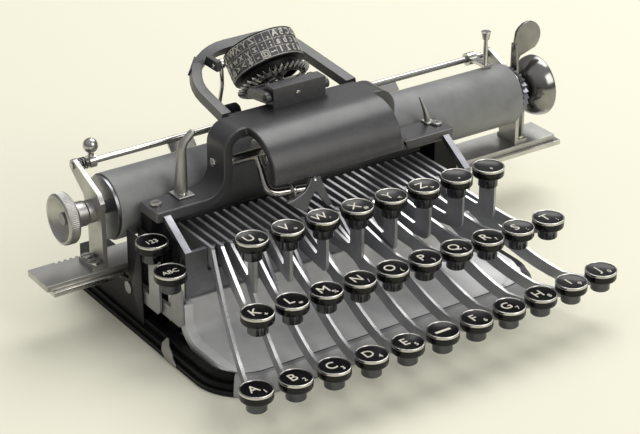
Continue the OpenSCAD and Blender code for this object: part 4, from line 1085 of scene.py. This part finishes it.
    def _build_clips(self) -> None:
        """Forms the hold-down clips: leaf-shaped straps that lean back as they rise over the rail."""
        clips = Piece("hold_down_clips_formed", "base", [SATIN_NICKEL])
        corners = [(-93.4, 0.0, 0.5), (-93.7, 0.0, 2.9), (-92.3, 0.0, 6.2), (-90.2, 0.0, 9.2)]
        route = rounded_route(corners, 1.1, 4)
        steps = len(route) - 1
        bmesh.ops.create_grid(clips.bm, x_segments=steps, y_segments=8, size=1.0)
        for vert in clips.bm.verts:
            along = (vert.co.x + 1) / 2
            place = route[round(along * steps)]
            ahead = max(along - 0.35, 0.0) / 0.65
            half = self.clip_w / 2 * math.sqrt(max(1.0 - ahead * ahead, 0.02))
            y = -self.clip_y - 2.5 + self.clip_lean * along + half * vert.co.y
            vert.co = Vector((place.x, y, place.z)) * MM
        clips.face_out()
        bmesh.ops.solidify(clips.bm, geom=clips.bm.faces[:], thickness=-self.clip_t * MM)
        clips.mirror()
        clips.finish_piece(["hold_down_clips"], bevel=0.2)

    def _build_screws(self) -> None:
        """Adds the small screws of the left wing, the left paper guide and the bearing block."""
        screws = Piece("wing_and_guide_screws", "base", [NICKEL])
        screws.add_screw((-self.wing_x, 7.5, 76.3), Axis.LEFT, 4.4, 1.5, 35.0)
        screws.add_screw((-65.2, 7.2, self.foot_z + 1.0), Axis.Z, 3.6, 1.1, 60.0)
        screws.add_screw((-1.0, 8.5, 99.4), Axis.FRONT, 2.6, 0.7, 20.0)
        screws.finish_piece()


@dataclass
class Carriage:
    """The sliding carriage: plates, platen, knob, bell, levers and paper rod."""

    axis_yz: Pair = (32.0, 55.5)
    rod_yz: Pair = (48.0, 72.0)
    knob_left: float = -116.9
    knob_right: float = -103.4
    knob_d: float = 24.6
    knob_rim: float = 6.0
    bell_x: float = 152.2
    bell_d: float = 32.2
    bell_h: float = 11.5
    spring_x: float = -96.95
    spring_r: float = 2.55
    spring_wire: float = 0.9
    spring_pitch: float = 1.45
    spring_turns: int = 3

    def build(self) -> None:
        """Dresses the carriage's nodes and adds its turned pieces."""
        for node, bevel in (("carriage_strip", 0.3), ("paper_rod", 0.15), ("release_lever", 0.15),
                            ("carriage_screws", 0.12)):
            dress(node, NICKEL, bevel)
        for node, bevel in (("carriage_plate", 0.3), ("left_bracket", 0.15), ("right_bracket", 0.15)):
            dress(node, SATIN_NICKEL, bevel)
        # darker nickel: painted shade and dark reflection on the line-space lever
        dress("line_space_lever", REFLECTION_DARKENED_NICKEL, 0.3)
        dress("platen_core", STEEL, 0.3)
        dress("platen_rubber", PLATEN_RUBBER, 0.3)
        self._build_knob()
        self._build_bell()
        self._build_spring()

    def _build_knob(self) -> None:
        """Turns the knob and cuts the knurl into its rim."""
        r = self.knob_d / 2
        x0, x1 = self.knob_left, self.knob_right
        dish = x0 + self.knob_rim - 1.0
        back = x0 + self.knob_rim
        y, z = self.axis_yz
        knob = Piece("platen_knob_turned", "platen", [SATIN_NICKEL])
        slope = (dish - x0 - 0.9) / (r - 2.3 - 4.0)
        pitch, depth = 0.35, 0.12
        grooves = [(4.0 + pitch * k, dish - slope * pitch * k + depth * (k % 2)) for k in range(1, 17)]
        faces = knob.add_turned([(3.1, dish), *grooves, (r - 2.1, x0 + 0.7), (r - 1.8, x0 + 0.1),
                                 (r - 1.2, x0), (r - 0.4, x0 + 0.35), (r, x0 + 1.0), (r, back - 1.0),
                                 (r - 0.4, back - 0.4), (r - 1.0, back),
                                 (7.2, back + 1.4), (6.3, back + 2.0), (6.0, back + 2.8), (6.0, x1 - 0.5),
                                 (5.6, x1), (3.1, x1), (3.1, dish)], Axis.X, (0.0, y, z), 80)
        rim = [f for f in faces if abs(f.normal.x) < 0.05
               and (f.calc_center_median().yz - Vector((y, z)) * MM).length > (r - 0.2) * MM]
        bmesh.ops.inset_individual(knob.bm, faces=rim, thickness=0.2 * MM, depth=-0.45 * MM)
        knob.finish_piece(["platen_knob"])

    def _build_bell(self) -> None:
        """Turns the bell with its crown nut and beaded lip."""
        y, z = self.axis_yz
        r, h, x = self.bell_d / 2, self.bell_h, self.bell_x
        wall, flat = 1.4, 5
        dome = [(flat + (r - flat) * math.sin(a), x + h * (1 - math.cos(a)))
                for a in (math.pi / 2 * k / 20 for k in range(20))]
        inside = [(flat + (r - wall - flat) * math.sin(a), x + wall + (h - wall) * (1 - math.cos(a)))
                  for a in (math.pi / 2 * k / 20 for k in range(20, -1, -1))]
        lip = [(r, x + h - 0.5), (r - 0.2, x + h), (r - wall + 0.2, x + h)]
        # darker nickel: painted dark reflection on the bell
        bell = Piece("bell_turned", "carriage", [REFLECTION_DARKENED_NICKEL])
        bell.add_turned([(0.0, x)] + dome + lip + inside + [(0.0, x + wall)], Axis.X, (0.0, y, z), 72)
        bell.add_turned([(1.95, x - 1.7), (1.95, x + 1.0), (4.2, x + 1.3), (4.2, x + 3.0), (3.4, x + 3.5),
                         (1.9, x + 3.6), (1.6, x + 4.0), (0.0, x + 4.0)], Axis.X, (0.0, y, z), 6)
        bell.finish_piece(["bell"])

    def _build_spring(self) -> None:
        """Winds the paper rod's spring as one round wire."""
        y, z = self.rod_yz
        spring = Piece("rod_spring_wire", "carriage", [STEEL])
        centre = Vector((self.spring_x, y, z)) * MM
        upright = Matrix.Translation(centre + Vector((0, self.spring_r * MM, 0)))
        ring = bmesh.ops.create_circle(spring.bm, cap_ends=False, radius=self.spring_wire / 2 * MM,
                                       segments=12, matrix=upright)
        steps = 32 * self.spring_turns
        drift = Vector((self.spring_pitch * self.spring_turns / steps * MM, 0, 0))
        edges = list({e for v in ring["verts"] for e in v.link_edges})
        bmesh.ops.spin(spring.bm, geom=list(ring["verts"]) + edges, cent=centre, axis=(1, 0, 0), dvec=drift,
                       angle=math.tau * self.spring_turns, steps=steps, use_merge=False)
        bmesh.ops.holes_fill(spring.bm, edges=spring.bm.edges, sides=12)
        spring.face_out()
        spring.finish_piece(["rod_spring"])


@dataclass
class Studio:
    """The camera at the picture's angle, a pale floor and soft light."""

    camera_mm: Point = (-494.9, -742.4, 489.2)
    pitch: float = 63.15
    heading: float = -33.99
    focal_px: float = 2100.0
    frame_px: float = 640.0
    sensor_mm: float = 36.0
    aim_mm: Point = (0.0, 0.0, 50.0)
    floor_colour: str = "#f8f6e3"

    def build(self) -> None:
        """Builds the camera, the lights, the world and the floor."""
        self._build_camera()
        self._build_floor()
        self._build_light("top_light", (1100, 650, 1800), 1600, 29.0, "#fffefb")
        self._build_light("front_light", (500, -1700, 1300), 1200, 15.0, "#fffcf6")
        self._build_world()
        bpy.context.scene.view_settings.view_transform = "Standard"

    def _build_camera(self) -> None:
        """Sets the camera where the picture was taken from."""
        lens = bpy.data.cameras.new("camera")
        lens.sensor_fit = "HORIZONTAL"
        lens.sensor_width = self.sensor_mm
        lens.lens = self.focal_px / self.frame_px * self.sensor_mm
        lens.clip_end = 50.0
        camera = in_scene("camera", lens)
        camera.location = Vector(self.camera_mm) * MM
        camera.rotation_euler = (math.radians(self.pitch), 0.0, math.radians(self.heading))
        bpy.context.scene.camera = camera

    def _build_floor(self) -> None:
        """Lays the pale floor under the machine."""
        bm = bmesh.new()
        bmesh.ops.create_grid(bm, x_segments=1, y_segments=1, size=6.0)
        mesh = bpy.data.meshes.new("floor")
        bm.to_mesh(mesh)
        bm.free()
        floor = in_scene("floor", mesh)
        paper = bpy.data.materials.new("cream_paper")
        paper.use_nodes = True
        shader = paper.node_tree.nodes["Principled BSDF"]
        shader.inputs["Base Color"].default_value = linear(self.floor_colour)
        shader.inputs["Roughness"].default_value = 0.95
        shader.inputs["Specular IOR Level"].default_value = 0.1
        mesh.materials.append(paper)

    def _build_light(self, name: str, place: Point, size: float, power: float, colour: str) -> None:
        """Hangs one soft square lamp that points at the machine.

        Args:
            name: The lamp's name.
            place: Where it hangs.
            size: The side of its square.
            power: Its power in watts.
            colour: Its colour.
        """
        lamp = bpy.data.lights.new(name, "AREA")
        lamp.shape = "SQUARE"
        lamp.size = size * MM
        lamp.energy = power
        lamp.color = linear(colour)[:3]
        holder = in_scene(name, lamp)
        holder.location = Vector(place) * MM
        aim = Vector(self.aim_mm) - Vector(place)
        holder.rotation_euler = aim.to_track_quat("-Z", "Y").to_euler()

    @staticmethod
    def _build_world() -> None:
        """Makes a plain sky, paler overhead, for the metal to mirror."""
        world = bpy.data.worlds.new("studio")
        world.use_nodes = True
        tree = world.node_tree
        ray = add_node(tree, "ShaderNodeTexCoord", {}).outputs["Generated"]
        up = add_node(tree, "ShaderNodeSeparateXYZ", {"Vector": ray}).outputs["Z"]
        height = add_node(tree, "ShaderNodeMapRange", {"Value": up, "From Min": -0.1, "From Max": 0.9})
        sky = add_node(tree, "ShaderNodeMix", {"Factor": height.outputs["Result"], "A": linear("#7b7a78"),
                                              "B": linear("#ffffff")}, data_type="RGBA")
        back = tree.nodes["Background"]
        back.inputs["Strength"].default_value = 0.5
        tree.links.new(sky.outputs[2], back.inputs["Color"])
        bpy.context.scene.world = world


def main() -> None:
    """Builds the whole scene."""
    logging.basicConfig(level=logging.INFO, format="%(name)s: %(message)s")
    Studio().build()
    Frame().build()
    Carriage().build()
    TypeWheel().build()
    InkWork().build()
    Keyboard().build()


if __name__ == "__main__":
    main()
